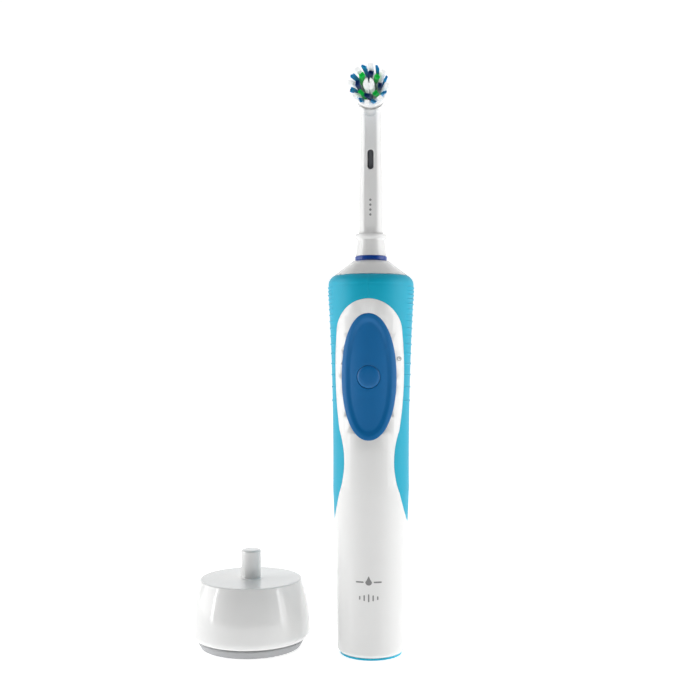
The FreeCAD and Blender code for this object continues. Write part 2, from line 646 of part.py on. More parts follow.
def handle_housing(sleeve, pad_blank, button_hole):
    """The white housing, with recesses for the grip and the pad, and the stub for the brush head."""
    shell = turned("housing_shell", [
        (BORE_R, "cap_band"),
        ("grip_r - foot_inset", "cap_band"),
        ("grip_r", "foot_z", "foot_bow", -1),
        ("grip_r + low_swell", "low_z"),
        ("grip_r + waist_swell", "waist_z"),
        ("grip_r + shoulder_swell", "shoulder_z", "grip_bow", 1),
        ("grip_r + crown_swell", CROWN_Z, "crown_bow", -1),
        ("grip_r + lip_swell", LIP_Z, "lip_bow", -1),
        ("grip_r + cone_swell", LIP_Z),
        ("grip_r + cone_swell", CONE_Z),
        ("cone_top_r", CONE_TOP_Z),
        ("stub_r", CONE_TOP_Z),
        ("stub_r", STUB_TOP_Z),
        ("shaft_r + shaft_gap", STUB_TOP_Z),
        ("shaft_r + shaft_gap", f"{SEAL_Z} + seal_len"),
        (BEARING_R, f"{SEAL_Z} + seal_len"),
        (BEARING_R, ROOF_Z),
        ("roof_r", ROOF_Z),
        (BORE_R, "shoulder_z"),
    ])
    piece("handle_housing", cut("handle_housing", shell, sleeve, pad_blank, button_hole))


def power_button():
    """The round button: its face follows the handle's surface, and its stem reaches the switch."""
    back = f"({PAD_R} - button_face - button_len)"
    head = common("button_head",
                  rod("button_rod", "button_r", "grip_r", y=f"-{back}", z="pad_z", turn=TO_FRONT),
                  handle_skin("button_skin", "-(button_face)"))
    plunger = f"({BOARD_FRONT} + switch_t + plunger_len)"
    stem = rod("button_stem", "stem_r", f"{back} - {plunger} - button_travel - button_gap / 2",
               y=f"-{back}", z="pad_z", turn=TO_BACK)
    piece("power_button", fuse("power_button", head, stem))


def bottom_cap():
    """The cap that closes the handle below, with the blind socket for the charging post."""
    cap_r = "(grip_r - foot_inset)"
    ring_in = f"({BORE_R} - cap_wall)"
    groove_r = f"({BORE_R} - 2 * seal_r)"
    tower_r = f"({SOCKET_R} + socket_wall)"
    piece("bottom_cap", turned("bottom_cap", [
        ("0", SOCKET_DEPTH),
        (SOCKET_R, SOCKET_DEPTH),
        (SOCKET_R, "0"),
        (f"{cap_r} - 4 * snug", "0"),
        (cap_r, "cap_band"),
        (BORE_R, "cap_band"),
        (BORE_R, "seal_z - seal_r"),
        (groove_r, "seal_z - seal_r"),
        (groove_r, "seal_z + seal_r"),
        (BORE_R, "seal_z + seal_r"),
        (BORE_R, "cap_upstand"),
        (ring_in, "cap_upstand"),
        (ring_in, "cap_floor"),
        (tower_r, "cap_floor"),
        (tower_r, f"{SOCKET_DEPTH} + socket_wall"),
        ("0", f"{SOCKET_DEPTH} + socket_wall"),
    ]))
    ring = doc.addObject("Part::Torus", "bottom_cap_seal")
    bind(ring, "Radius1", f"{BORE_R} - seal_r")
    bind(ring, "Radius2", "seal_r")
    piece("bottom_cap_seal", place(ring, z="seal_z"))


# Handle, inside

def charging_coil():
    """The coil round the charging socket, on its bobbin."""
    bore_r = f"({SOCKET_R} + socket_wall)"
    hub_r = f"({bore_r} + flange_t)"
    top = LOWER_PLATE_Z
    piece("charging_bobbin", turned("charging_bobbin", [
        (bore_r, "cap_upstand"),
        ("bobbin_r", "cap_upstand"),
        ("bobbin_r", "cap_upstand + flange_t"),
        (hub_r, "cap_upstand + flange_t"),
        (hub_r, f"{top} - flange_t"),
        ("bobbin_r", f"{top} - flange_t"),
        ("bobbin_r", top),
        (bore_r, top),
    ]))
    piece("charging_coil", tube("charging_coil", "bobbin_r - winding_back", hub_r,
                                "cap_upstand + flange_t", f"{top} - flange_t"))


def front_space(name, depth, low, height):
    """All that lies more than depth in front of the handle's axis, to cut pieces with."""
    return block(name, (f"2 * {FAR}", FAR, height), (f"-{FAR}", f"-{FAR} - {depth}", low))


def chassis():
    """A trough with three cross plates that carries the battery, the motor and the lower bearing."""
    tall = f"{CHASSIS_TOP_Z} - {LOWER_PLATE_Z}"
    trough = cut("trough", tube("trough_tube", CHASSIS_R, TROUGH_R, LOWER_PLATE_Z, CHASSIS_TOP_Z),
                 front_space("trough_front", "chassis_front", LOWER_PLATE_Z, tall))
    plates = []
    for number, low in enumerate((LOWER_PLATE_Z, MIDDLE_PLATE_Z, BEARING_PLATE_Z)):
        plates.append(cut(f"plate_{number}", tube(f"plate_disc_{number}", CHASSIS_R, "0", low, f"{low} + plate_t"),
                          front_space(f"plate_front_{number}", "board_back", low, "plate_t")))
    seat = rod("bearing_seat", BEARING_R, "plate_t", z=BEARING_PLATE_Z)
    piece("chassis", cut("chassis", fuse("chassis_whole", trough, *plates), seat))


def battery():
    """The rechargeable cell with a flat tab at each end."""
    top = f"({BATTERY_Z} + battery_len)"
    piece("battery_cell", turned("battery_cell", [
        ("0", BATTERY_Z),
        ("battery_r", BATTERY_Z),
        ("battery_r", top),
        ("battery_button_r", top),
        ("battery_button_r", f"{top} + battery_button_len"),
        ("0", f"{top} + battery_button_len"),
    ]))
    for label, low in (("battery_tab_lower", f"{BATTERY_Z} - tab_t"), ("battery_tab_upper", UPPER_TAB_Z)):
        piece(label, block(label, ("tab_w", "tab_w", "tab_t"), ("-tab_w / 2", "-tab_w / 2", low)))


def flatted(name, radius, flat, low, height):
    """A cylinder with two flats, at the front and at the back."""
    return common(name, rod(name + "_rod", radius, height, z=low),
                  block(name + "_flats", (f"2 * {FAR}", f"2 * ({flat})", height), (f"-{FAR}", f"-({flat})", low)))


def motor():
    """A flat-sided motor: can, end cap, magnets, armature and shaft, and the bracket screwed on it."""
    bore_r = "(motor_shaft_r + running)"
    inner_r = "(motor_r - motor_wall)"
    inner_flat = "(motor_flat - motor_wall)"
    inner_len = "(motor_len - motor_wall)"
    can = flatted("can_outside", "motor_r", "motor_flat", CAN_Z, "motor_len")
    hollow = flatted("can_inside", inner_r, inner_flat, CAN_Z, inner_len)
    can_bore = rod("can_bore", bore_r, "motor_len", z=f"{CAN_Z} + motor_wall")
    threads = []
    heads = []
    for number, side in enumerate(("-", "")):
        x = f"{side}screw_x"
        threads.append(rod(f"screw_thread_{number}", "screw_r", "motor_wall + bracket_t", x=x,
                           z=f"{BRACKET_Z} - motor_wall"))
        heads.append(rod(f"screw_head_{number}", "screw_head_r", "screw_head_t", x=x,
                         z=f"{BRACKET_Z} + bracket_t"))
    piece("motor_can", cut("motor_can", can, hollow, can_bore, *threads))
    end = flatted("end_cap_solid", "motor_r", "motor_flat", MOTOR_CAP_Z, "motor_cap_t")
    end_bore = rod("end_cap_bore", bore_r, "motor_cap_t", z=f"{MOTOR_CAP_Z} + motor_wall")
    piece("motor_end_cap", cut("motor_end_cap", end, end_bore))
    ring = tube("magnet_ring", inner_r, "magnet_in_r", CAN_Z, f"{CAN_Z} + {inner_len}")
    between = f"sqrt({inner_r} ^ 2 - {inner_flat} ^ 2)"
    piece("motor_magnets", cut("motor_magnets", ring,
                               block("magnet_gap", (f"2 * {between}", f"2 * {FAR}", "motor_len"),
                                     (f"-{between}", f"-{FAR}", CAN_Z))))
    piece("armature", tube("armature", "armature_r", "motor_shaft_r",
                           f"{CAN_Z} + armature_end", f"{CAN_Z} + {inner_len} - armature_end"))
    piece("motor_shaft", rod("motor_shaft", "motor_shaft_r", f"{GEAR_Z} + gear_t - {MOTOR_CAP_Z} - 2 * motor_wall",
                             z=f"{MOTOR_CAP_Z} + 2 * motor_wall"))
    plate = cut("bracket_plate", rod("bracket_disc", TROUGH_R + " - snug", "bracket_t", z=BRACKET_Z),
                front_space("bracket_front", "motor_flat", BRACKET_Z, "bracket_t"))
    axle = rod("gear_axle", "axle_r", f"{GEAR_Z} + axle_in - {BRACKET_Z}", y=GEAR_Y, z=BRACKET_Z)
    middle = rod("bracket_hole", "pinion_hole_r", "bracket_t", z=BRACKET_Z)
    piece("gear_axle", axle)
    piece("motor_bracket", cut("motor_bracket", plate, middle, axle, *threads))
    screws = [fuse(f"bracket_screw_{n}", thread, head) for n, (thread, head) in enumerate(zip(threads, heads))]
    piece("bracket_screws", group("bracket_screws", screws))


def spur_gear(name, teeth, towards, y="0", turn=None):
    """A small gear with straight-sided teeth; its first tooth points to the front (-1) or back (+1)."""
    body = doc.addObject("PartDesign::Body", name)
    pitch_r = f"(gear_module * {teeth} / 2)"
    root_r = f"({pitch_r} - 1.15 * gear_module)"
    tip_r = f"({pitch_r} + 0.85 * gear_module)"
    half = "(tooth_share * pi * gear_module / 2)"
    hub = body.newObject("PartDesign::Revolution", name + "_hub")
    section = outline(body, name + "_section", "XZ_Plane",
                      [("0", "0"), (root_r, "0"), (root_r, "gear_t"), ("0", "gear_t")])
    hub.Profile = section
    hub.ReferenceAxis = (section, ["V_Axis"])
    hub.Angle = 360
    tooth = body.newObject("PartDesign::Pad", name + "_tooth")
    tooth.Profile = outline(body, name + "_tooth_outline", "XY_Plane", [
        (f"-1.5 * {half}", f"{towards} * {root_r} * 0.8"),
        (f"1.5 * {half}", f"{towards} * {root_r} * 0.8"),
        (f"1.3 * {half}", f"{towards} * {root_r}"),
        (half, f"{towards} * {pitch_r}"),
        (f"0.45 * {half}", f"{towards} * {tip_r}"),
        (f"-0.45 * {half}", f"{towards} * {tip_r}"),
        (f"-{half}", f"{towards} * {pitch_r}"),
        (f"-1.3 * {half}", f"{towards} * {root_r}"),
    ])
    bind(tooth, "Length", "gear_t")
    doc.recompute()
    pattern = body.newObject("PartDesign::PolarPattern", name + "_teeth")
    pattern.Originals = [tooth]
    pattern.Axis = (section, ["V_Axis"])
    pattern.Angle = 360
    bind(pattern, "Occurrences", teeth)
    body.Tip = pattern
    return place(body, y=y, z=GEAR_Z, turn=turn)


def gear_train():
    """The pinion on the motor's shaft, and the gear that it drives, with the crank pin on top."""
    shaft = rod("pinion_bore", "motor_shaft_r", "gear_t", z=GEAR_Z)
    piece("pinion", cut("pinion", spur_gear("pinion_solid", "pinion_teeth", 1), shaft))
    half_pitch = FreeCAD.Rotation(V(0, 0, 1), 180 / value_of("gear_teeth"))
    wheel = spur_gear("gear_solid", "gear_teeth", -1, GEAR_Y, half_pitch)
    bore = rod("gear_bore", "axle_r + running", "axle_in + 2 * snug", y=GEAR_Y, z=GEAR_Z)
    pin = rod("crank_pin", "crank_r", "crank_len + snug", y=f"{GEAR_Y} + crank_throw", z=f"{GEAR_Z} + gear_t - snug")
    piece("crank_gear", fuse("crank_gear", cut("gear_bored", wheel, bore), pin))


def drive_shaft():
    """The steel shaft that rocks the brush, with the slotted lever that the crank pin swings."""
    rock = rod("rocker_hub", "lever_hub_r", "lever_t", z=LEVER_Z)
    reach = f"({GEAR_Y} + crank_throw + crank_r + slot_play)"
    arm = block("rocker_arm", ("2 * lever_half", f"{reach} + lever_end", "lever_t"), ("-lever_half", "0", LEVER_Z))
    slot_half = "(crank_r + slot_play)"
    slot = block("rocker_slot", (f"2 * {slot_half}", f"2 * (crank_throw + {slot_half})", "lever_t"),
                 (f"-{slot_half}", f"{GEAR_Y} - crank_throw - {slot_half}", LEVER_Z))
    bore = rod("rocker_bore", "shaft_r", "lever_t", z=LEVER_Z)
    piece("rocker_lever", cut("rocker_lever", fuse("rocker_solid", rock, arm), slot, bore))
    bar = rod("shaft_bar", "shaft_r", f"{SHAFT_TOP_Z} - {LEVER_Z}", z=LEVER_Z)
    flat = front_space("shaft_flat_space", "shaft_flat", STUB_TOP_Z, "shaft_out")
    piece("drive_shaft", cut("drive_shaft", bar, flat))


def shaft_bearings():
    """Two plain bearings and the lip seal round the drive shaft."""
    collar_r = f"({BEARING_R} + bearing_collar)"
    piece("lower_bearing", turned("lower_bearing", [
        (SHAFT_BORE_R, BEARING_PLATE_Z),
        (BEARING_R, BEARING_PLATE_Z),
        (BEARING_R, CHASSIS_TOP_Z),
        (collar_r, CHASSIS_TOP_Z),
        (collar_r, f"{CHASSIS_TOP_Z} + bearing_collar"),
        (SHAFT_BORE_R, f"{CHASSIS_TOP_Z} + bearing_collar"),
    ]))
    piece("upper_bearing", tube("upper_bearing", BEARING_R, SHAFT_BORE_R, ROOF_Z, SEAL_Z))
    lip = "(seal_len / 4)"
    groove_r = f"({SHAFT_BORE_R} + bearing_t / 2)"
    piece("shaft_seal", turned("shaft_seal", [
        (SHAFT_BORE_R, SEAL_Z),
        (BEARING_R, SEAL_Z),
        (BEARING_R, f"{SEAL_Z} + seal_len"),
        (SHAFT_BORE_R, f"{SEAL_Z} + seal_len"),
        (SHAFT_BORE_R, f"{SEAL_Z} + seal_len - {lip}"),
        (groove_r, f"{SEAL_Z} + seal_len - {lip}"),
        (groove_r, f"{SEAL_Z} + {lip}"),
        (SHAFT_BORE_R, f"{SEAL_Z} + {lip}"),
    ]))


def circuit_board():
    """The handle's circuit board, with the tact switch behind the power button."""
    piece("circuit_board", block("circuit_board", ("2 * board_half", "board_t", f"{CHASSIS_TOP_Z} - board_low_z"),
                                 ("-board_half", f"-{BOARD_FRONT}", "board_low_z")))
    body = block("switch_body", ("switch_w", "switch_t", "switch_w"),
                 ("-switch_w / 2", f"-({BOARD_FRONT} + switch_t)", "pad_z - switch_w / 2"))
    plunger = rod("switch_plunger", "plunger_r", "switch_t + plunger_len",
                  y=f"-{BOARD_FRONT}", z="pad_z", turn=TO_FRONT)
    piece("tact_switch", fuse("tact_switch", body, plunger))


# Brush head

def neck_bore():
    """The stepped bore of the neck, from the stub up to the end of the drive rod."""
    return turned("neck_bore", [
        ("0", f"{CONE_TOP_Z} - ring_h"),
        (NECK_FOOT_R, f"{CONE_TOP_Z} - ring_h"),
        (NECK_FOOT_R, f"{STUB_TOP_Z} + fit_gap"),
        ("socket_bore_r", f"{STUB_TOP_Z} + fit_gap"),
        ("socket_bore_r", NECK_BORE_Z),
        ("neck_bore_r", NECK_BORE_Z),
        ("neck_bore_r", f"{ROD_TIP_Z} + disc_gap"),
        ("tip_bore_r", f"{ROD_TIP_Z} + disc_gap"),
        ("tip_bore_r", f"{ROD_TOP_Z} + 2 * fit_gap"),
        ("0", f"{ROD_TOP_Z} + 2 * fit_gap"),
    ])


def brush_neck():
    """The white neck: a stepped tube with a round head, the disc's space, a nose opening and a window."""
    stem = turned("neck_stem", [
        ("0", NECK_Z),
        ("skirt_r", NECK_Z),
        ("skirt_top_r", FLANGE_Z),
        ("flange_r", f"{FLANGE_Z} + flange_step"),
        ("flange_r", f"{FLANGE_Z} + flange_step + flange_h"),
        ("neck_low_r", f"{FLANGE_Z} + 3 * flange_step + flange_h"),
        ("neck_low_r", "neck_low_z"),
        ("neck_mid_r", "neck_mid_z"),
        ("neck_top_r", "neck_top_z"),
        ("neck_top_r", "disc_z"),
        ("0", "disc_z"),
    ])
    deep = "(head_front + head_back)"
    head = turned("neck_head", [
        ("0", "0"),
        ("head_r", "0"),
        ("head_r", f"{deep} - head_round"),
        ("head_r - head_round", deep, "head_round", -1),
        ("0", deep),
    ], TO_BACK, y="-head_front", z="disc_z")
    space = rod("disc_space", "disc_r + 2 * disc_gap", FAR, y="-head_front", z="disc_z", turn=TO_FRONT)
    nose_half = "(nose_r + 2 * nose_play)"
    opening = block("nose_opening", (f"2 * {nose_half}", "head_front", f"2 * nose_r + 4 * fit_gap"),
                    (f"-{nose_half}", "-head_front", "disc_z - nose_drop - nose_r - 2 * fit_gap"))
    axle_hole = rod("axle_hole", "disc_axle_r", f"disc_axle_out + head_r", y="-head_r", z="disc_z", turn=TO_BACK)
    window_tools = [block("window_slot", ("window_w", "neck_low_r", "window_h - window_w"),
                          ("-window_w / 2", "-neck_low_r - fit_gap", "window_z - (window_h - window_w) / 2"))]
    for number, side in enumerate(("-", "+")):
        window_tools.append(rod(f"window_end_{number}", "window_w / 2", "neck_low_r", y="-neck_low_r - fit_gap",
                                z=f"window_z {side} (window_h - window_w) / 2", turn=TO_BACK))
    piece("brush_neck", cut("brush_neck", fuse("neck_solid", stem, head), neck_bore(), space, opening,
                            axle_hole, fuse("window_tool", *window_tools)))


def colour_ring():
    """The blue ring at the foot of the brush head."""
    low = f"({CONE_TOP_Z} + fit_gap)"
    piece("colour_ring", turned("colour_ring", [
        (NECK_FOOT_R, low),
        ("ring_r - ring_round", low),
        ("ring_r", f"{low} + ring_round", "ring_round", -1),
        ("ring_r", f"{NECK_Z} - ring_round"),
        ("ring_r - ring_round", NECK_Z, "ring_round", -1),
        (NECK_FOOT_R, NECK_Z),
    ]))


def drive_rod():
    """The rod in the neck: a socket on the shaft's flat below, and a crank nose behind the disc."""
    socket_top = f"({NECK_BORE_Z} - disc_gap)"
    body = turned("rod_solid", [
        ("0", ROD_FOOT_Z),
        ("rod_socket_r", ROD_FOOT_Z),
        ("rod_socket_r", socket_top),
        ("rod_r", socket_top),
        ("rod_r", ROD_TIP_Z),
        ("rod_tip_r", ROD_TIP_Z),
        ("rod_tip_r", ROD_TOP_Z),
        ("0", ROD_TOP_Z),
    ])
    depth = f"{SHAFT_TOP_Z} + 2 * fit_gap - {ROD_FOOT_Z}"
    shaft_hole = cut("shaft_hole", rod("shaft_hole_rod", SHAFT_BORE_R, depth, z=ROD_FOOT_Z),
                     front_space("shaft_hole_flat", "(shaft_flat + running)", ROD_FOOT_Z, depth))
    nose = rod("crank_nose", "nose_r", "nose_reach", z="disc_z - nose_drop", turn=TO_FRONT)
    piece("drive_rod", cut("drive_rod", fuse("rod_with_nose", body, nose), shaft_hole))


# Bristle disc

def tuft(name, angle, foot_r, width, depth, lean):
    """One tuft as a block that stands in the disc at an angle round its axis and leans outwards."""
    item = doc.addObject("Part::Box", name)
    for side, expression in zip(("Length", "Width", "Height"), (width, depth, "tuft_len + tuft_sink")):
        bind(item, side, expression)
    leaning = FreeCAD.Rotation(V(1, 0, 0), -value_of(lean))
    turn = FreeCAD.Rotation(V(0, 1, 0), 90 - angle) * TO_FRONT * leaning
    centre = V(math.cos(math.radians(angle)), 0, math.sin(math.radians(angle))) * value_of(foot_r)
    foot = centre + V(value_of(Axis.x), value_of(f"{Axis.y} - {DISC_FRONT} + tuft_sink"), value_of("disc_z"))
    half = V(value_of(width) / 2, value_of(depth) / 2, 0)
    item.Placement = FreeCAD.Placement(foot - turn.multVec(half), turn)
    return item


def bristle_disc():
    """The disc that rocks on its axle, with its centre base and five kinds of tufts standing in it."""
    rings = [
        ("tufts_cyan", CYAN_TUFTS, "outer_tuft_r", "outer_tuft_w", "outer_tuft_d", "outer_lean"),
        ("tufts_white", WHITE_TUFTS, "outer_tuft_r", "white_tuft_w", "outer_tuft_d", "outer_lean"),
        ("tufts_navy", NAVY_TUFTS, "inner_tuft_r", "inner_tuft_w", "inner_tuft_d", "inner_lean"),
        ("tufts_green", GREEN_TUFTS, "inner_tuft_r", "inner_tuft_w", "inner_tuft_d", "inner_lean"),
    ]
    holes = []
    for label, angles, *sizes in rings:
        tufts = [tuft(f"{label}_{number}", angle, *sizes) for number, angle in enumerate(angles)]
        holes.append(piece(label, group(label, tufts)))
    centre = []
    for number, corner_x in enumerate(("centre_gap / 2", "-centre_gap / 2 - centre_tuft_w")):
        centre.append(block(f"tufts_centre_{number}", ("centre_tuft_w", "tuft_len + tuft_sink", "centre_tuft_h"),
                            (corner_x, f"-{DISC_FRONT} - tuft_len", "disc_z - centre_tuft_h / 2")))
    centre_tufts = piece("tufts_centre", group("tufts_centre", centre))
    base = rod("centre_base_disc", "base_r", "base_h", y=f"-{DISC_FRONT}", z="disc_z", turn=TO_FRONT)
    piece("centre_base", cut("centre_base", base, centre_tufts))
    solid = turned("disc_solid", [
        ("0", "0"),
        ("disc_r", "0"),
        ("disc_r", "disc_t - disc_round"),
        ("disc_r - disc_round", "disc_t", "disc_round", -1),
        ("0", "disc_t"),
    ], TO_FRONT, y=f"-{DISC_BACK}", z="disc_z")
    bore = rod("disc_bore", "disc_axle_r + running", "disc_axle_in + fit_gap",
               y=f"-{DISC_BACK}", z="disc_z", turn=TO_FRONT)
    slot_half = "(nose_r + nose_play)"
    slot_deep = f"(nose_reach + nose_play - {DISC_BACK})"
    slot = block("nose_slot", (f"2 * {slot_half}", slot_deep, f"2 * {slot_half} + nose_play"),
                 (f"-{slot_half}", f"-{DISC_BACK} - {slot_deep}", f"disc_z - nose_drop - {slot_half} - nose_play"))
    piece("disc_carrier", cut("disc_carrier", solid, bore, slot, *holes, centre_tufts))
    piece("disc_axle", rod("disc_axle", "disc_axle_r", f"{DISC_BACK} + disc_axle_in + disc_axle_out",
                           y="disc_axle_out", z="disc_z", turn=TO_FRONT))


charger_cover()
charger_base()
charger_inside()
Axis.x = "brush_x"
Axis.y = "brush_y"
sleeve_item = grip_sleeve()
pad_item, hole_item = switch_pad()
handle_housing(sleeve_item, pad_item, hole_item)
power_button()
bottom_cap()
charging_coil()
chassis()
battery()
motor()
gear_train()
drive_shaft()
shaft_bearings()
circuit_board()
brush_neck()
colour_ring()
drive_rod()
bristle_disc()

doc.recompute()
for item in doc.Objects:
    if "Invalid" in item.State or "Error" in item.State:
        raise RuntimeError(f"{item.Name} could not be built: {item.State}")
for item in pieces:
    if item.Shape.isNull() or not item.Shape.isValid() or item.Shape.Volume <= 0:
        raise RuntimeError(f"{item.Label} has no valid shape")
os.makedirs("parts", exist_ok=True)
for item in pieces:
    item.Shape.exportStep(f"parts/{item.Label}.step")
print(len(pieces), "pieces")
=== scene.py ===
import json
import math
import random

import bpy
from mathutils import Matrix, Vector


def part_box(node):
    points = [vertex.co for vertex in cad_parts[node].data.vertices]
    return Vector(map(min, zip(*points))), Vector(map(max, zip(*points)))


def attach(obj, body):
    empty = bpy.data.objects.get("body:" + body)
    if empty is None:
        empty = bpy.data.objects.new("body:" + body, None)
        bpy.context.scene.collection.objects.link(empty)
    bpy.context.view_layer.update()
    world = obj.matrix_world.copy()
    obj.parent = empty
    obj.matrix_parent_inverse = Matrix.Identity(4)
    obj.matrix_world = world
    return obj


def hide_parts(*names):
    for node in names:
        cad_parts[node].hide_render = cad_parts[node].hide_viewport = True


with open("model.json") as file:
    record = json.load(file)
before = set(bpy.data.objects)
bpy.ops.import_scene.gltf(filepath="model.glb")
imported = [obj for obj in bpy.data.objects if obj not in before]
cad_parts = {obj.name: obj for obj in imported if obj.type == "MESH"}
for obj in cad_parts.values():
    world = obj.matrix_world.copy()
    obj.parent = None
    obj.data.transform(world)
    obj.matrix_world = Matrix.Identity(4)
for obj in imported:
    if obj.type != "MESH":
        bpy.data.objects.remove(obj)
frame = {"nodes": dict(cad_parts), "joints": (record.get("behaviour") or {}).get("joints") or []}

bl_info = {
    "name": "Electric toothbrush and charger",
    "version": (1, 0, 0),
    "blender": (4, 5, 0),
    "location": "View3D > Sidebar > Toothbrush",
    "description": "Models an electric toothbrush that stands beside its charger, round the part's frame",
    "category": "Object",
}

MM = 0.001
JOINTS = {joint["name"]: joint for joint in frame["joints"]}
HANDLE = Vector((*JOINTS["motor_spin"]["pos_m"][:2], 0)) / MM
DISC = Vector(JOINTS["disc_rock"]["pos_m"]) / MM
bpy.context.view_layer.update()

# Profile of the handle in millimetres: height, radius, and the bow that arrives there, hollow if negative.
# It ends on the roof lip, where the white cone begins.
HANDLE_PROFILE = [
    (0.9, 12.2, 0),
    (2.6, 13.1, 2.1),
    (41.0, 13.85, 0),
    (64.0, 14.8, 0),
    (138.0, 16.5, -1140),
    (143.0, 16.6, 70),
    (146.2, 14.6, 4.0),
]
# The top of the soft grip, and the radius of the housing under its lip
GRIP_TOP = 146.2
GRIP_INNER = 14.25
# The grip's ribs from the top down: the highest one, the first gap, how the gaps grow, and their number
RIB_TOP = 141.5
RIB_GAP = 1.37
RIB_GROWTH = 1.1
RIB_COUNT = 16
# The crease between the highest rib and the lip
CREASE_Z = 142.4
CREASE_DEPTH = 0.07
# Where the white front's edges meet the tongue's at the handle's sides, and the bow of the tongue's edge
POINT_Z = 51.0
TONGUE_BOW = 38.0
# The round top of the white front, and its edge below that as height, half width and bow
ROUND_Z = 124.3
ROUND_R = 12.5
FRONT_TOP = ROUND_Z + ROUND_R
FRONT_PROFILE = [
    (46.7, 15.2, 0),
    (63.0, 11.5, 0),
    (87.0, 11.4, -36.9),
    (ROUND_Z, ROUND_R, 158.0),
]
# The power button's radius, the radius of the flat round it, and how square the pad's oval is
BUTTON_R = 4.3
SEAT_R = 4.6
PAD_SQUARE = 2.15
# The neck's foot, its radius above the flange, and the middle of the window in it
NECK_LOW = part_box("brush_neck")[0].z / MM
NECK_R = 4.7
WINDOW_Z = DISC.z - 26.4
# The radius of the neck's round head, and how far the facet's edges are rounded
HEAD_R = 6.4
FACET_ROUND = 0.012
# The sides of a filament, and how much narrower a tuft is at its foot than at its tips
SIDES = 5
FOOT_SHARE = 0.72


# Colours

def linear(text):
    """The linear colour of an sRGB hex value."""
    parts = [int(text[i:i + 2], 16) / 255 for i in (1, 3, 5)]
    return tuple(c / 12.92 if c <= 0.04045 else ((c + 0.055) / 1.055) ** 2.4 for c in parts)


def shaded(colour, factor):
    """A colour made lighter or darker, with an alpha of 1."""
    return (*(min(c * factor, 1) for c in colour[:3]), 1)


# Settings

def length(name, text, default):
    """A length setting, in metres."""
    return bpy.props.FloatProperty(
        name=name, description=text, default=default, unit="LENGTH", precision=5)


def colour(name, text, default):
    """A colour setting, from an sRGB hex value."""
    return bpy.props.FloatVectorProperty(
        name=name, description=text, default=linear(default), size=3, min=0, max=1, subtype="COLOR")


class BrushColours(bpy.types.PropertyGroup):
    """Colours of the mouldings and the filaments."""
    body: colour("Body", "White mouldings of handle, neck and charger", "#f1f1f0")
    grip: colour("Grip", "Soft grip", "#04aecd")
    pad: colour("Switch pad", "Oval pad round the power button", "#0268a6")
    button: colour("Button", "Power button", "#0267a6")
    cap: colour("Bottom cap", "Cap in the handle's foot", "#08bcdc")
    ring: colour("Colour ring", "Ring at the foot of the brush head", "#02409c")
    base: colour("Base plate", "Plate under the charger", "#b2b3b5")
    marks: colour("Marks", "Printed marks", "#8c8c8c")
    cyan: colour("Cyan filaments", "Outer coloured tufts", "#1aa6e0")
    navy: colour("Navy filaments", "Inner dark tufts", "#123c88")
    green: colour("Green filaments", "Inner green tufts", "#1cf064")
    white: colour("White filaments", "Outer clear tufts and the two in the middle", "#fbfcfc")


class GripSizes(bpy.types.PropertyGroup):
    """Sizes of the soft grip and the switch."""
    wall: length("Wall", "Thickness of the soft grip", 0.0011)
    rib_height: length("Rib height", "How far a rib stands out", 0.00035)
    rib_width: length("Rib width", "Width of a rib at its foot", 0.0008)
    edge_round: length("Edge rounding", "Rounding of the grip's edge along the white front", 0.00032)
    dish_depth: length("Dish depth", "Depth of the dish in the switch pad", 0.0006)


class BrushSizes(bpy.types.PropertyGroup):
    """Sizes of the brush head's details."""
    facet: length("Facet", "How much the neck's front is flattened", 0.0006)
    window_width: length("Window width", "Width of the neck's window", 0.0024)
    window_height: length("Window height", "Height of the neck's window", 0.0077)
    filament: length("Filament", "Thickness of a filament as drawn, coarser than the real 0.15 mm", 0.0002)
    spacing: length("Spacing", "Distance between filaments in a tuft", 0.00021)


class StageSettings(bpy.types.PropertyGroup):
    """Camera and surroundings."""
    lens: bpy.props.FloatProperty(
        name="Lens", description="Focal length", default=51.7, subtype="DISTANCE_CAMERA")
    distance: length("Distance", "From the camera to the handle's axis", 0.392)
    height: length("Height", "Height of the camera", 0.1175)
    aside: length("Aside", "How far the view passes to the left of the handle's axis", 0.0082)
    turn: bpy.props.FloatProperty(
        name="Turn", description="Direction of the camera round the object", default=math.radians(5),
        subtype="ANGLE")


# Tools for meshes

def deselect():
    """Leave nothing selected."""
    bpy.ops.object.select_all(action="DESELECT")


def select(*objects):
    """Select only these objects, the first one active."""
    deselect()
    for item in objects:
        item.select_set(True)
    bpy.context.view_layer.objects.active = objects[0]


def sheet(name, rows, closed=True):
    """A grid whose rows of vertices lie on rows of points in millimetres, welded where it meets itself."""
    across = len(rows[0])
    deselect()
    bpy.ops.mesh.primitive_grid_add(x_subdivisions=across - 1, y_subdivisions=len(rows) - 1, size=1)
    item = bpy.context.object
    item.name = name
    item.data.name = name
    for vertex, point in zip(item.data.vertices, (point for row in rows for point in row)):
        vertex.co = Vector(point) * MM
    if closed:
        weld(item)
    return item


def weld(item, gap=0.000004):
    """Merge the vertices that meet, and turn every face outwards."""
    select(item)
    bpy.ops.object.mode_set(mode="EDIT")
    bpy.ops.mesh.select_all(action="SELECT")
    bpy.ops.mesh.remove_doubles(threshold=gap)
    bpy.ops.mesh.dissolve_degenerate(threshold=gap / 4)
    bpy.ops.mesh.select_all(action="SELECT")
    bpy.ops.mesh.normals_make_consistent(inside=False)
    bpy.ops.object.mode_set(mode="OBJECT")


def modify(item, kind, **settings):
    """Add a modifier with its settings and apply it."""
    select(item)
    modifier = item.modifiers.new(kind.title(), kind)
    for key, value in settings.items():
        setattr(modifier, key, value)
    bpy.ops.object.modifier_apply(modifier=modifier.name)
    return item


def smooth(item, degrees=32):
    """Shade smooth except across edges sharper than an angle."""
    select(item)
    bpy.ops.object.shade_smooth_by_angle(angle=math.radians(degrees))
    return modify(item, "WEIGHTED_NORMAL", keep_sharp=True, weight=80)


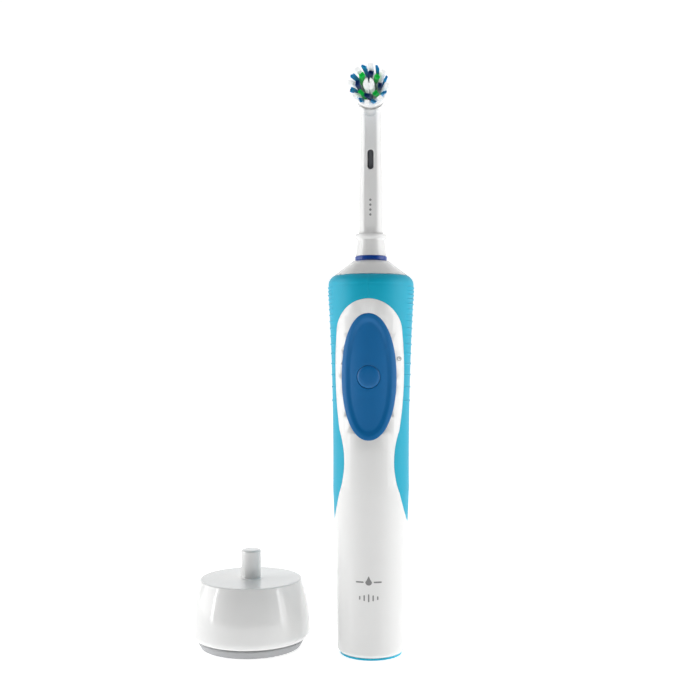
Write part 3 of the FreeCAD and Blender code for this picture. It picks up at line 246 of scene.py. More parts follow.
def carve(item, *tools):
    """Cut tools out of a piece, and remove the tools."""
    for tool in tools:
        modify(item, "BOOLEAN", operation="DIFFERENCE", solver="EXACT", object=tool)
        bpy.data.objects.remove(tool)
    return item


def copy_of(name, *nodes):
    """A welded copy of one or more of the frame's nodes as one piece."""
    copies = []
    for node in nodes:
        twin = frame["nodes"][node].copy()
        twin.data = twin.data.copy()
        twin.parent = None
        for key in list(twin.keys()):
            del twin[key]
        twin.data.materials.clear()
        bpy.context.scene.collection.objects.link(twin)
        copies.append(twin)
    select(*copies)
    if len(copies) > 1:
        bpy.ops.object.join()
    item = bpy.context.object
    item.name = name
    item.data.name = name
    bpy.ops.object.mode_set(mode="EDIT")
    bpy.ops.mesh.select_all(action="SELECT")
    bpy.ops.mesh.remove_doubles(threshold=0.000002)
    bpy.ops.object.mode_set(mode="OBJECT")
    return item


def finish(item, body, slot, material, *nodes):
    """Give a piece its material and its body, and hide the nodes that it stands for. The slot is not used."""
    item.data.materials.clear()
    item.data.materials.append(material)
    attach(item, body)
    if nodes:
        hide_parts(*nodes)
    return item


def turned(name, profile, centre, segments=128, axis="Z"):
    """A solid turned from a profile of (radius, height) in millimetres, about +Z or towards the front."""
    rows = []
    for radius, height in profile:
        row = []
        for i in range(segments + 1):
            angle = 2 * math.pi * i / segments
            x, y = radius * math.cos(angle), radius * math.sin(angle)
            row.append(centre + Vector((x, y, height) if axis == "Z" else (x, -height, y)))
        rows.append(row)
    return sheet(name, rows)


def oval_line(half_w, half_h, steps):
    """A closed oval line of (x, z) round the origin."""
    angles = (2 * math.pi * i / steps for i in range(steps + 1))
    return [(half_w * math.cos(a), half_h * math.sin(a)) for a in angles]


def squarer(value, square):
    """A sine or cosine for an oval that is squarer than an ellipse where square is over 2."""
    return math.copysign(abs(value) ** (2 / square), value)


def box_tool(low, high):
    """A block between two corners in millimetres, as a cutting tool."""
    deselect()
    bpy.ops.mesh.primitive_cube_add(size=1)
    tool = bpy.context.object
    for vertex in tool.data.vertices:
        vertex.co = Vector((high[i] if vertex.co[i] > 0 else low[i]) * MM for i in range(3))
    return tool


# Surface of the handle

def on_arc(z, start, end):
    """Radius at height z on the line or arc that ends a stretch of a profile."""
    (z0, r0, _), (z1, r1, bow) = start, end
    if not bow:
        return r0 + (r1 - r0) * (z - z0) / (z1 - z0)
    half = math.hypot(z1 - z0, r1 - r0) / 2
    rise = math.copysign(math.sqrt(bow ** 2 - half ** 2), bow)
    middle_z = (z0 + z1) / 2 + (r1 - r0) / (2 * half) * rise
    middle_r = (r0 + r1) / 2 - (z1 - z0) / (2 * half) * rise
    return middle_r + math.copysign(math.sqrt(max(bow ** 2 - (z - middle_z) ** 2, 0)), bow)


def on_profile(profile, z):
    """Radius or half width at height z on a profile that rises."""
    for start, end in zip(profile, profile[1:]):
        if z <= end[0]:
            return on_arc(z, start, end)
    return profile[-1][1]


def handle_radius(z):
    """Radius of the handle's outside at height z, in millimetres."""
    return on_profile(HANDLE_PROFILE, min(max(z, HANDLE_PROFILE[0][0]), GRIP_TOP))


def front_half(z):
    """Half width of the white front at height z, in millimetres."""
    if z >= FRONT_TOP:
        return 0
    if z > ROUND_Z:
        return math.sqrt(ROUND_R ** 2 - (z - ROUND_Z) ** 2)
    return on_profile(FRONT_PROFILE, z)


def grip_angle(z):
    """Angle from the front at which the soft grip begins at height z, half a turn where there is none."""
    radius = handle_radius(z)
    if z >= POINT_Z:
        return math.asin(min(front_half(z) / radius, 1))
    point_r = handle_radius(POINT_Z)
    centre_z = POINT_Z + math.sqrt(TONGUE_BOW ** 2 - point_r ** 2)
    reach = math.sqrt(max(TONGUE_BOW ** 2 - (centre_z - z) ** 2, 0))
    return math.pi - math.asin(min(reach / radius, 1))


def tongue_low():
    """Height of the lowest point of the grip's tongue at the back."""
    return POINT_Z + math.sqrt(TONGUE_BOW ** 2 - handle_radius(POINT_Z) ** 2) - TONGUE_BOW


def on_handle(x, z, lift=0.0):
    """The point of the handle's front that is x aside at height z, lifted off the surface."""
    radius = handle_radius(z) + lift
    return HANDLE + Vector((x, -math.sqrt(max(radius ** 2 - x ** 2, 0)), z))


def round_handle(angle, z, radius):
    """The point at an angle from the handle's front, at height z and a radius."""
    return HANDLE + Vector((radius * math.sin(angle), -radius * math.cos(angle), z))


def ease(value, low, high):
    """0 below low, 1 above high, and a soft step between."""
    t = min(max((value - low) / (high - low), 0), 1)
    return t * t * (3 - 2 * t)


# Materials

def add_node(tree, kind, values=None, links=None):
    """Add a node, set its fields and sockets, and link outputs into its sockets."""
    node = tree.nodes.new(kind)
    for key, value in (values or {}).items():
        if hasattr(node, str(key)):
            setattr(node, key, value)
        else:
            node.inputs[key].default_value = value
    for key, output in (links or {}).items():
        tree.links.new(output, node.inputs[key])
    return node


def surface(name, tint, rough, grain, relief, mottle=0.04, spread=0.06, stretch=(1, 1, 1), fade=None,
            **shader):
    """A material with grain and relief sizes in millimetres.

    The tint is mottled by a broad noise, the roughness varies by spread, and a fine noise gives the relief.
    fade is (axis, from, to, factor): along that axis, in metres, the tint goes to the tint times the factor.
    """
    material = bpy.data.materials.new(name)
    material.use_nodes = True
    tree = material.node_tree
    bsdf = tree.nodes["Principled BSDF"]
    place = add_node(tree, "ShaderNodeTexCoord").outputs["Object"]
    place = add_node(tree, "ShaderNodeMapping", {"Scale": stretch}, {"Vector": place}).outputs["Vector"]
    broad = add_node(tree, "ShaderNodeTexNoise",
                     {"Scale": 1 / (grain * 14 * MM), "Detail": 3.0, "Roughness": 0.55}, {"Vector": place})
    fine = add_node(tree, "ShaderNodeTexNoise",
                    {"Scale": 1 / (grain * MM), "Detail": 4.0, "Roughness": 0.6}, {"Vector": place})
    mix = add_node(tree, "ShaderNodeMix", {"data_type": "RGBA"}, {0: broad.outputs["Fac"]})
    mix.inputs[6].default_value = shaded(tint, 1 - mottle)
    mix.inputs[7].default_value = shaded(tint, 1 + mottle)
    result = mix.outputs[2]
    if fade:
        axis, start, end, factor = fade
        split = add_node(tree, "ShaderNodeSeparateXYZ", None,
                         {0: add_node(tree, "ShaderNodeTexCoord").outputs["Object"]})
        share = add_node(tree, "ShaderNodeMapRange", {"From Min": start, "From Max": end},
                         {"Value": split.outputs[axis]})
        faded = add_node(tree, "ShaderNodeMix", {"data_type": "RGBA"},
                         {0: share.outputs["Result"], 6: result})
        faded.inputs[7].default_value = shaded(tint, factor)
        result = faded.outputs[2]
    tree.links.new(result, bsdf.inputs["Base Color"])
    gloss = add_node(tree, "ShaderNodeMapRange",
                     {"To Min": max(rough - spread, 0.02), "To Max": rough + spread},
                     {"Value": broad.outputs["Fac"]})
    tree.links.new(gloss.outputs["Result"], bsdf.inputs["Roughness"])
    bump = add_node(tree, "ShaderNodeBump", {"Strength": 0.6, "Distance": relief * MM},
                    {"Height": fine.outputs["Fac"]})
    tree.links.new(bump.outputs["Normal"], bsdf.inputs["Normal"])
    for key, value in shader.items():
        bsdf.inputs[key.replace("_", " ")].default_value = value
    return material


def make_materials(tints):
    """Every finish of the object, by the name of what it is made of."""
    made = {}

    def add(name, *values, **settings):
        made[name] = surface(name, *values, **settings)

    # Injection-moulded glossy ABS: a hard polish with a very faint flow in the gloss
    add("glossy_white_abs", tints.body, 0.20, 0.5, 0.004, 0.012, 0.05, IOR=1.53,
        Coat_Weight=0.25, Coat_Roughness=0.08)
    # The same resin on the charger's cover, from a more highly polished mould
    add("charger_white_abs", tints.body, 0.2, 0.5, 0.004, 0.012, 0.05, IOR=1.53,
        Coat_Weight=0.7, Coat_Roughness=0.06)
    # Thermoplastic elastomer moulded over the handle: satin, with a fine eroded grain and a soft bloom
    add("soft_grip_tpe", tints.grip, 0.46, 0.28, 0.03, 0.03, 0.06, IOR=1.5, Specular_IOR_Level=0.3)
    # The same elastomer in blue on the switch pad
    add("switch_pad_tpe", tints.pad, 0.44, 0.28, 0.02, 0.03, 0.05, IOR=1.5, Specular_IOR_Level=0.3)
    # Softer and a shade darker on the button, polished by fingers
    add("button_tpe", tints.button, 0.38, 0.28, 0.015, 0.04, 0.06, IOR=1.5, Specular_IOR_Level=0.35)
    # Polished coloured ABS of the bottom cap
    add("teal_abs", tints.cap, 0.28, 0.5, 0.006, 0.02, 0.05, IOR=1.53)
    # Polished coloured polypropylene ring
    add("blue_polypropylene", tints.ring, 0.28, 0.4, 0.006, 0.04, 0.05, IOR=1.49)
    # Spark-eroded ABS of the base plate, matt with a coarse grain
    add("grey_textured_abs", tints.base, 0.52, 0.35, 0.05, 0.05, 0.05, IOR=1.53)
    # Printed ink
    add("grey_ink", tints.marks, 0.45, 0.2, 0.004, 0.05, 0.05, IOR=1.5)
    # Nylon filaments with painted shade: the tint is darker at the foot, where light doesn't reach, and
    # lighter towards the tips
    foot, tip = (DISC.y - 3.0) * MM, (DISC.y - 10.4) * MM
    for name in ("cyan", "navy", "green"):
        add(name + "_nylon", shaded(getattr(tints, name), 0.75), 0.32, 0.12, 0.01, 0.16, 0.05,
            fade=(1, foot, tip, 1.5), IOR=1.53, Transmission_Weight=0.05)
    # Painted light: the clear filaments glow with a faint white emission, so they look a little brighter than
    # the light that falls on them
    add("clear_nylon_painted_glow", shaded(tints.white, 0.98), 0.30, 0.12, 0.01, 0.02, 0.05, fade=(1, foot, tip, 1.0),
        IOR=1.53, Transmission_Weight=0.04, Emission_Color=(1, 1, 1, 1), Emission_Strength=0.16)
    # Soft grey elastomer that holds the two middle tufts
    add("grey_elastomer", linear("#a7abb0"), 0.5, 0.2, 0.02, 0.05, 0.05, IOR=1.5)
    # Unseen inner pieces
    add("black_nitrile", linear("#17181a"), 0.62, 0.3, 0.03, 0.08, 0.06, IOR=1.52)
    add("natural_nylon", linear("#ddd6c6"), 0.45, 0.4, 0.02, 0.03, 0.05, IOR=1.53)
    add("enamelled_copper", linear("#b8622c"), 0.28, 0.22, 0.09, 0.10, 0.06, stretch=(0.05, 0.05, 1),
        Metallic=0.9, Coat_Weight=0.6, Coat_Roughness=0.15)
    add("sintered_ferrite", linear("#35363a"), 0.6, 0.15, 0.03, 0.12, 0.06, Metallic=0.3)
    add("green_solder_mask", linear("#1c6b42"), 0.3, 0.8, 0.03, 0.16, 0.06, IOR=1.55, Coat_Weight=0.4)
    add("black_phenolic", linear("#1b1b1d"), 0.45, 0.4, 0.02, 0.08, 0.06, IOR=1.55)
    add("drawn_aluminium", linear("#cfd2d6"), 0.3, 0.12, 0.01, 0.05, 0.06, stretch=(1, 1, 0.05),
        Metallic=1.0)
    add("ground_steel", linear("#b9bbbf"), 0.24, 0.10, 0.008, 0.05, 0.06, stretch=(0.05, 0.05, 1),
        Metallic=1.0)
    add("shrink_sleeve_green", linear("#2f7d53"), 0.3, 0.6, 0.01, 0.06, 0.05, IOR=1.53, Coat_Weight=0.3)
    add("nickel_strip", linear("#c9c4b8"), 0.3, 0.15, 0.008, 0.05, 0.06, stretch=(0.05, 1, 1), Metallic=1.0)
    add("bonded_magnet", linear("#46484c"), 0.55, 0.2, 0.03, 0.10, 0.05, Metallic=0.5)
    add("white_polycarbonate", linear("#e2e2dc"), 0.36, 0.5, 0.01, 0.03, 0.05, IOR=1.58)
    add("natural_acetal", linear("#f0ede2"), 0.34, 0.4, 0.01, 0.03, 0.05, IOR=1.48)
    add("grey_acetal", linear("#6d6f73"), 0.3, 0.4, 0.01, 0.03, 0.05, IOR=1.48)
    add("sintered_bronze", linear("#a37b45"), 0.45, 0.12, 0.04, 0.14, 0.08, Metallic=1.0)
    return made


MATERIALS = {}

# Finish of each of the frame's nodes that stays as it is
KEPT_NODES = {
    "black_nitrile": ["bottom_cap_seal", "shaft_seal"],
    "natural_nylon": ["primary_bobbin", "charging_bobbin"],
    "enamelled_copper": ["primary_coil", "charging_coil", "armature"],
    "sintered_ferrite": ["ferrite_core"],
    "green_solder_mask": ["charger_circuit_board", "circuit_board"],
    "black_phenolic": ["charger_transistor", "motor_end_cap", "tact_switch"],
    "drawn_aluminium": ["charger_capacitor"],
    "ground_steel": ["motor_can", "motor_bracket", "bracket_screws", "gear_axle", "motor_shaft",
                     "drive_shaft", "disc_axle"],
    "shrink_sleeve_green": ["battery_cell"],
    "nickel_strip": ["battery_tab_lower", "battery_tab_upper"],
    "bonded_magnet": ["motor_magnets"],
    "white_polycarbonate": ["chassis"],
    "natural_acetal": ["pinion", "crank_gear", "rocker_lever"],
    "grey_acetal": ["drive_rod"],
    "sintered_bronze": ["lower_bearing", "upper_bearing"],
}


# Operators

class BRUSH_OT_stage(bpy.types.Operator):
    """Set up the camera, the pale floor and the soft lights"""
    bl_idname = "brush.stage"
    bl_label = "Stage"

    def execute(self, context):
        settings = context.scene.brush_stage
        view = Vector((-math.sin(settings.turn), math.cos(settings.turn), 0))
        right = Vector((view.y, -view.x, 0))
        deselect()
        bpy.ops.object.camera_add()
        camera = context.object
        camera.data.lens = settings.lens
        camera.location = HANDLE * MM - right * settings.aside - view * settings.distance
        camera.location.z = settings.height
        camera.rotation_euler = (math.pi / 2, 0, settings.turn)
        context.scene.camera = camera
        self.floor()
        self.card()
        self.lights(context)
        return {"FINISHED"}

    def floor(self):
        """A pale floor that rises to a pale wall far behind."""
        rows = []
        for y, z in ((-2500, 0), (-800, 0), (0, 0), (900, 0),
                     (1500, 60), (1900, 320), (2100, 900), (2150, 3000)):
            rows.append([(x, y, z) for x in (-3500, -1500, -500, 0, 500, 1500, 3500)])
        floor = sheet("floor", rows, closed=False)
        modify(floor, "SUBSURF", levels=2, render_levels=2)
        for polygon in floor.data.polygons:
            polygon.use_smooth = True
        paper = surface("matt_white_paper", linear("#fbfbfb"), 0.75, 2.0, 0.02, 0.004, 0.05,
                        Emission_Color=(1, 1, 1, 1), Emission_Strength=0.58)
        floor.data.materials.append(paper)

    def card(self):
        """A black card behind the camera, which gives the white pieces their darker middle."""
        card = box_tool((-800, -720, 20), (800, -710, 1000))
        card.name = "black_card"
        card.data.materials.append(surface("black_felt", linear("#101010"), 0.9, 1.0, 0.05))
        card.visible_camera = False

    def lights(self, context):
        """Soft boxes at the sides, narrow strips nearer the front, and weak boxes in front and above."""
        aim = Vector((0.03, 0, 0.11))
        for name, place, width, height, power in (
                ("left_softbox", (-0.85, 0.05, 0.36), 0.6, 0.8, 3.4),
                ("right_softbox", (0.93, 0.05, 0.36), 0.6, 0.8, 3.4),
                ("left_strip", (-0.72, -0.27, 0.20), 0.08, 0.6, 1.1),
                ("right_strip", (0.80, -0.27, 0.20), 0.08, 0.6, 0.7),
                ("front_softbox", (-0.15, -0.62, 1.15), 0.8, 0.3, 0.5),
                ("top_softbox", (0.0, 0.10, 1.30), 1.2, 1.0, 0.8)):
            deselect()
            bpy.ops.object.light_add(type="AREA", location=place)
            light = context.object
            light.name = name
            light.data.shape = "RECTANGLE"
            light.data.size = width
            light.data.size_y = height
            light.data.energy = power
            light.rotation_euler = (aim - light.location).to_track_quat("-Z", "Y").to_euler()
        world = context.scene.world or bpy.data.worlds.new("studio")
        context.scene.world = world
        world.use_nodes = True
        shade = world.node_tree.nodes["Background"]
        shade.inputs["Color"].default_value = (1, 1, 1, 1)
        shade.inputs["Strength"].default_value = 0.25
        context.scene.view_settings.view_transform = "Standard"


class BRUSH_OT_charger(bpy.types.Operator):
    """Model the charger's cover with its post, and its base plate"""
    bl_idname = "brush.charger"
    bl_label = "Charger"

    def execute(self, context):
        cover = copy_of("charger_shell", "charger_cover")
        finish(smooth(cover), "charger", "white_abs", MATERIALS["charger_white_abs"], "charger_cover")
        post = copy_of("charger_post", "charging_post")
        finish(smooth(post), "charger", "white_abs", MATERIALS["charger_white_abs"], "charging_post")
        base = copy_of("charger_plate", "charger_base")
        finish(smooth(base), "charger", "base_grey", MATERIALS["grey_textured_abs"], "charger_base")
        return {"FINISHED"}


class BRUSH_OT_housing(bpy.types.Operator):
    """Model the handle's white housing and its bottom cap"""
    bl_idname = "brush.housing"
    bl_label = "Housing"

    def execute(self, context):
        housing = copy_of("housing_shell", "handle_housing")
        finish(smooth(housing), "handle", "white_abs", MATERIALS["glossy_white_abs"], "handle_housing")
        cap = copy_of("foot_cap", "bottom_cap")
        finish(smooth(cap), "handle", "cap_teal", MATERIALS["teal_abs"], "bottom_cap")
        return {"FINISHED"}


class BRUSH_OT_grip(bpy.types.Operator):
    """Model the soft grip with its ribs, wrapped round the handle's sides and back"""
    bl_idname = "brush.grip"
    bl_label = "Soft grip"

    def execute(self, context):
        sizes = context.scene.brush_grip
        heights = self.heights()
        rows = [self.row(z) for z in heights]
        rows.append([self.at_radius(point, GRIP_INNER) for point in rows[-1]])
        grip = sheet("soft_grip", rows, closed=False)
        modify(grip, "SOLIDIFY", thickness=sizes.wall, offset=-1)
        outer = len(rows) * len(rows[0])
        for vertex in grip.data.vertices[:outer - len(rows[0])]:
            self.shape(vertex, sizes)
        weld(grip, 0.00001)
        finish(smooth(grip, 40), "handle", "grip_teal", MATERIALS["soft_grip_tpe"], "grip_sleeve")
        return {"FINISHED"}

    def heights(self):
        """Heights of the rows: dense at the tongue, the ribs, the white front's top and the rounded lip."""
        low = tongue_low()
        heights = [low + (POINT_Z - low) * (i / 18) ** 2 for i in range(19)]
        heights += [POINT_Z + 1.0 * i for i in range(1, 46)]
        heights += [96.2 + 0.2 * i for i in range(234)]
        heights += [ROUND_Z + ROUND_R * math.sin(math.pi / 2 * (0.7 + 0.3 * i / 30)) for i in range(31)]
        heights += [FRONT_TOP + offset for offset in (0.05, 0.1, 0.17, 0.25, 0.35)]
        heights += [GRIP_TOP - 3.4 * (1 - math.sin(math.pi / 2 * i / 14)) for i in range(15)]
        result = []
        for z in sorted(heights):
            if z <= GRIP_TOP + 1e-6 and (not result or z - result[-1] > 0.004):
                result.append(z)
        return result

    def row(self, z):
        """Points of one row, from the white front's right edge round the back to its left edge."""
        radius = handle_radius(z)
        begin = grip_angle(z)
        reach = (math.pi - begin) * radius
        near = [offset * min(1, reach / 2) for offset in (0, 0.07, 0.15, 0.24, 0.36)]
        half = near + [near[-1] + (reach - near[-1]) * i / 72 for i in range(1, 73)]
        angles = [begin + offset / radius for offset in half]
        angles += [2 * math.pi - angle for angle in reversed(angles[:-1])]
        return [round_handle(angle, z, radius) for angle in angles]

    def at_radius(self, point, radius):
        """A point moved to another radius round the handle's axis."""
        side = Vector((point.x - HANDLE.x, point.y - HANDLE.y, 0)).normalized()
        return HANDLE + side * radius + Vector((0, 0, point.z))

    def shape(self, vertex, sizes):
        """Raise the ribs, cut the crease and round the edge along the white front, on one outer vertex."""
        point = vertex.co / MM - HANDLE
        z = point.z
        side = Vector((point.x, point.y, 0))
        if side.length < handle_radius(z) - 0.3:
            return
        lift = 0.0
        height, gap = RIB_TOP, RIB_GAP
        for _ in range(RIB_COUNT):
            near = abs(z - height) / (sizes.rib_width / MM / 2)
            if near < 1:
                swell = 0.5 + 0.5 * math.cos(math.pi * near)
                lift += sizes.rib_height / MM * swell * (1 - ease(abs(point.y), 5.5, 9.0))
            height, gap = height - gap, gap * RIB_GROWTH
        lift -= CREASE_DEPTH * math.exp(-((z - CREASE_Z) / 0.2) ** 2)
        round_by = sizes.edge_round / MM
        if z < POINT_Z:
            turn = abs(math.pi - abs(math.atan2(point.x, -point.y)))
            beyond = (math.pi - grip_angle(z) - turn) * side.length
        elif point.y > 0:
            beyond = round_by
        elif z > ROUND_Z:
            beyond = math.hypot(point.x, z - ROUND_Z) - ROUND_R
        else:
            beyond = abs(point.x) - front_half(z)
        if beyond < round_by:
            step = round_by - max(beyond, 0)
            lift -= round_by - math.sqrt(max(round_by ** 2 - step ** 2, 0))
        vertex.co += side.normalized() * lift * MM


class BRUSH_OT_switch(bpy.types.Operator):
    """Model the oval switch pad with its dish, and the round power button"""
    bl_idname = "brush.switch"
    bl_label = "Switch"

    def execute(self, context):
        low, high = (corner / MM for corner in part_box("switch_pad"))
        middle = (low.z + high.z) / 2
        half_w, half_h = (high.x - low.x) / 2, (high.z - low.z) / 2
        depth = context.scene.brush_grip.dish_depth / MM
        rings = [(0, -1.45), (0, -0.3), (-0.04, 0.0), (0.02, 0.05),
                 (0.12, 0.1), (0.3, 0.14), (0.6, 0.15), (1.1, 0.14)]
        for i in range(9):
            rings.append((1.4 + 2.2 * i / 8, 0.13 - (0.13 + depth) * ease(i, 0, 8)))
        rows = [self.ring(half_w - inset, half_h - inset, middle, lift, PAD_SQUARE) for inset, lift in rings]
        last_w, last_h = half_w - rings[-1][0], half_h - rings[-1][0]
        for i in range(1, 19):
            share = i / 18
            wide, tall = last_w + (SEAT_R - last_w) * share, last_h + (SEAT_R - last_h) * share
            rows.append(self.ring(wide, tall, middle, -depth, PAD_SQUARE - (PAD_SQUARE - 2) * share))
        for radius, lift in ((4.48, -depth - 0.02), (4.42, -depth - 0.1), (4.42, -1.45)):
            rows.append(self.ring(radius, radius, middle, lift))
        rows.append(rows[0])
        pad = sheet("switch_pad_oval", rows)
        finish(smooth(pad, 50), "handle", "pad_blue", MATERIALS["switch_pad_tpe"], "switch_pad")

        low, high = (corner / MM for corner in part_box("power_button"))
        back = high.y - HANDLE.y
        rows = []
        for radius, lift in ((0.01, -0.2), (1.0, -0.2), (2.0, -0.21), (2.8, -0.24), (3.4, -0.3), (3.8, -0.38),
                             (4.1, -0.5), (4.24, -0.6), (BUTTON_R, -0.75), (BUTTON_R, -1.6)):
            rows.append(self.ring(radius, radius, middle, lift))
        for radius, y in ((BUTTON_R, -13.2), (1.6, -13.2), (1.6, back), (0.01, back)):
            rows.append([HANDLE + Vector((x, y, middle + z)) for x, z in oval_line(radius, radius, 128)])
        button = sheet("power_button_dome", rows)
        weld(button, 0.00003)
        finish(smooth(button, 40), "button", "button_blue", MATERIALS["button_tpe"], "power_button")
        return {"FINISHED"}

    def ring(self, half_w, half_h, middle, lift, square=2.0):
        """An oval ring laid on the handle's front, squarer than an ellipse where square is over 2."""
        row = []
        for i in range(128):
            angle = math.pi * i / 64
            x = half_w * squarer(math.cos(angle), square)
            z = half_h * squarer(math.sin(angle), square)
            row.append(on_handle(x, middle + z, lift))
        return row + row[:1]


class BRUSH_OT_neck(bpy.types.Operator):
    """Model the brush head's neck with its flange, facet, window and round head, and the colour ring"""
    bl_idname = "brush.neck"
    bl_label = "Neck and colour ring"

    def execute(self, context):
        sizes = context.scene.brush_head
        low, high = (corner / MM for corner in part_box("brush_neck"))
        rows = [self.section(*values, sizes) for values in self.stations(low.z, high.z)]
        neck = sheet("brush_stem", rows)
        # The bore takes the handle's stub, then the shaft, the rod, and above the rod's tip its crank nose
        foot = low.z - 1
        rod_tip = DISC.z - 8.3
        bore = turned("bore", [(0.001, foot), (4.3, foot), (4.3, foot + 5.2), (3.5, foot + 6.2),
                               (3.5, low.z + 21), (2.6, low.z + 21.8), (2.6, rod_tip),
                               (1.6, rod_tip + 0.15), (1.6, DISC.z - 0.8), (0.001, DISC.z - 0.8)], HANDLE)
        nose = box_tool((HANDLE.x - 1.4, HANDLE.y - 4.0, DISC.z - 2.6),
                        (HANDLE.x + 1.4, HANDLE.y, DISC.z - 0.6))
        middle = Vector((HANDLE.x, HANDLE.y, DISC.z))
        axle = turned("axle", [(0.001, -7.5), (0.72, -7.5), (0.72, 6), (0.001, 6)], middle, 32, axis="-Y")
        space = turned("space", [(0.001, 1.9), (7.2, 1.9), (7.2, 9.0), (0.001, 9.0)], middle, 128, axis="-Y")
        carve(neck, bore, self.window_tool(sizes), self.recess_tool(), space, nose, axle)
        finish(smooth(neck, 34), "brush_head", "white_abs", MATERIALS["glossy_white_abs"], "brush_neck")
        ring = copy_of("colour_band", "colour_ring")
        finish(smooth(ring), "brush_head", "ring_blue", MATERIALS["blue_polypropylene"], "colour_ring")
        return {"FINISHED"}

    def stations(self, low, top):
        """Height, half width, front, back and squareness of each section, from the neck's foot to its top."""
        made = [(low, 0.01, 0.01, 0.01, 2)]
        profile = [(0, 5.6), (0, 5.75), (0.15, 5.9), (2, 5.72), (4, 5.5), (5.8, 5.32), (6.3, 5.3),
                   (6.5, 5.45), (6.8, 5.9), (7.0, 6.1), (7.3, 6.2), (7.9, 6.2), (8.2, 6.12), (8.4, 5.95),
                   (8.5, 5.6), (8.55, 5.2), (8.7, 4.95), (9.0, 4.8), (9.5, 4.72), (10, NECK_R)]
        made += [(low + rise, r, r, r, 2) for rise, r in profile]
        z = low + 11
        while z < top - 0.02:
            stem = NECK_R - 0.4 * ease(z, WINDOW_Z - 17, WINDOW_Z) - 0.2 * ease(z, WINDOW_Z - 2, WINDOW_Z + 9)
            head = math.sqrt(max(HEAD_R ** 2 - (z - DISC.z) ** 2, 0))
            if z < DISC.z:
                half = max(stem, head) + 0.5 * math.exp(-((stem - head) / 0.9) ** 2)
            else:
                half = max(head, 0.4)
            front = stem + (1.9 - stem) * ease(z, DISC.z - 5.5, DISC.z - 3.5)
            square = 2 + 5 * ease(z, DISC.z - 8, DISC.z - 4)
            made.append((z, half, front, stem, square))
            z += 0.22 if z > DISC.z - 14 or abs(z - WINDOW_Z) < 6 else 0.5
        made.append((top, 0.8, 1.7, 3.4, 3))
        made.append((top, 0.01, 0.01, 0.01, 2))
        return made

    def section(self, z, half, front, back, square, sizes):
        """One closed section of the neck, with its front flattened to the facet."""
        row = []
        facet = sizes.facet / MM * ease(z, NECK_LOW + 9, NECK_LOW + 11)
        for i in range(129):
            angle = 2 * math.pi * i / 128
            x = half * squarer(math.cos(angle), square)
            y = squarer(math.sin(angle), square)
            y *= back if y > 0 else front
            if half < 0.05:
                row.append(HANDLE + Vector((0, 0, z)))
                continue
            if facet and y < 0:
                plane = front - facet
                over = -y - plane
                y = -(plane + over / 2 - math.sqrt((over / 2) ** 2 + FACET_ROUND))
            row.append(HANDLE + Vector((x, y, z)))
        return row

    def window_tool(self, sizes):
        """The tool that cuts the window, with a chamfered mouth."""
        rows = []
        wide, tall = sizes.window_width / MM / 2, sizes.window_height / MM / 2
        for y, grow in ((-6, 0.3), (-3.75, 0.3), (-3.35, 0.0), (-1.2, 0.0)):
            rows.append([HANDLE + Vector((x, y, WINDOW_Z + z)) for x, z in stadium(wide, tall, grow)])
        return capped("window_tool", rows, WINDOW_Z)

    def recess_tool(self):
        """The tool that cuts the recess under the disc, whose curved lower edge has a crescent bevel."""
        rows = []
        half, low, high = 2.2, DISC.z - 8.8, DISC.z - 4.5
        for y, bevel in ((-6, 1.2), (-3.62, 1.2), (-3.0, 0.0), (-2.75, 0.0)):
            line = []
            for i in range(25):
                share = i / 12 - 1
                line.append((half * share, low - (0.55 + bevel) * (1 - share ** 2)))
            line += [(half, (low + high) / 2), (half, high), (0, high),
                     (-half, high), (-half, (low + high) / 2), line[0]]
            rows.append([HANDLE + Vector((x, y, z)) for x, z in line])
        return capped("recess_tool", rows, (low + high) / 2)


def stadium(half_w, half_h, grow=0.0):
    """A closed line of (x, z) with round ends and straight sides, its radius enlarged by grow."""
    radius, reach = min(half_w, half_h) + grow, abs(half_w - half_h)
    points = []
    for side in (1, -1):
        for i in range(17):
            a = math.pi * (i / 16 - 0.5)
            points.append((side * (reach + radius * math.cos(a)), side * radius * math.sin(a)))
        for i in range(1, 12):
            points.append((side * reach * (1 - i / 6), side * radius))
    points.append(points[0])
    return points if half_w > half_h else [(-z, x) for x, z in points]


def capped(name, rows, height):
    """A solid whose rows lie in planes before one another, each end closed round a point at this height."""
    for index in (0, len(rows) + 1):
        y = rows[0 if index == 0 else -1][0].y
        rows.insert(index, [Vector((HANDLE.x, y, height))] * len(rows[0]))
    return sheet(name, rows)


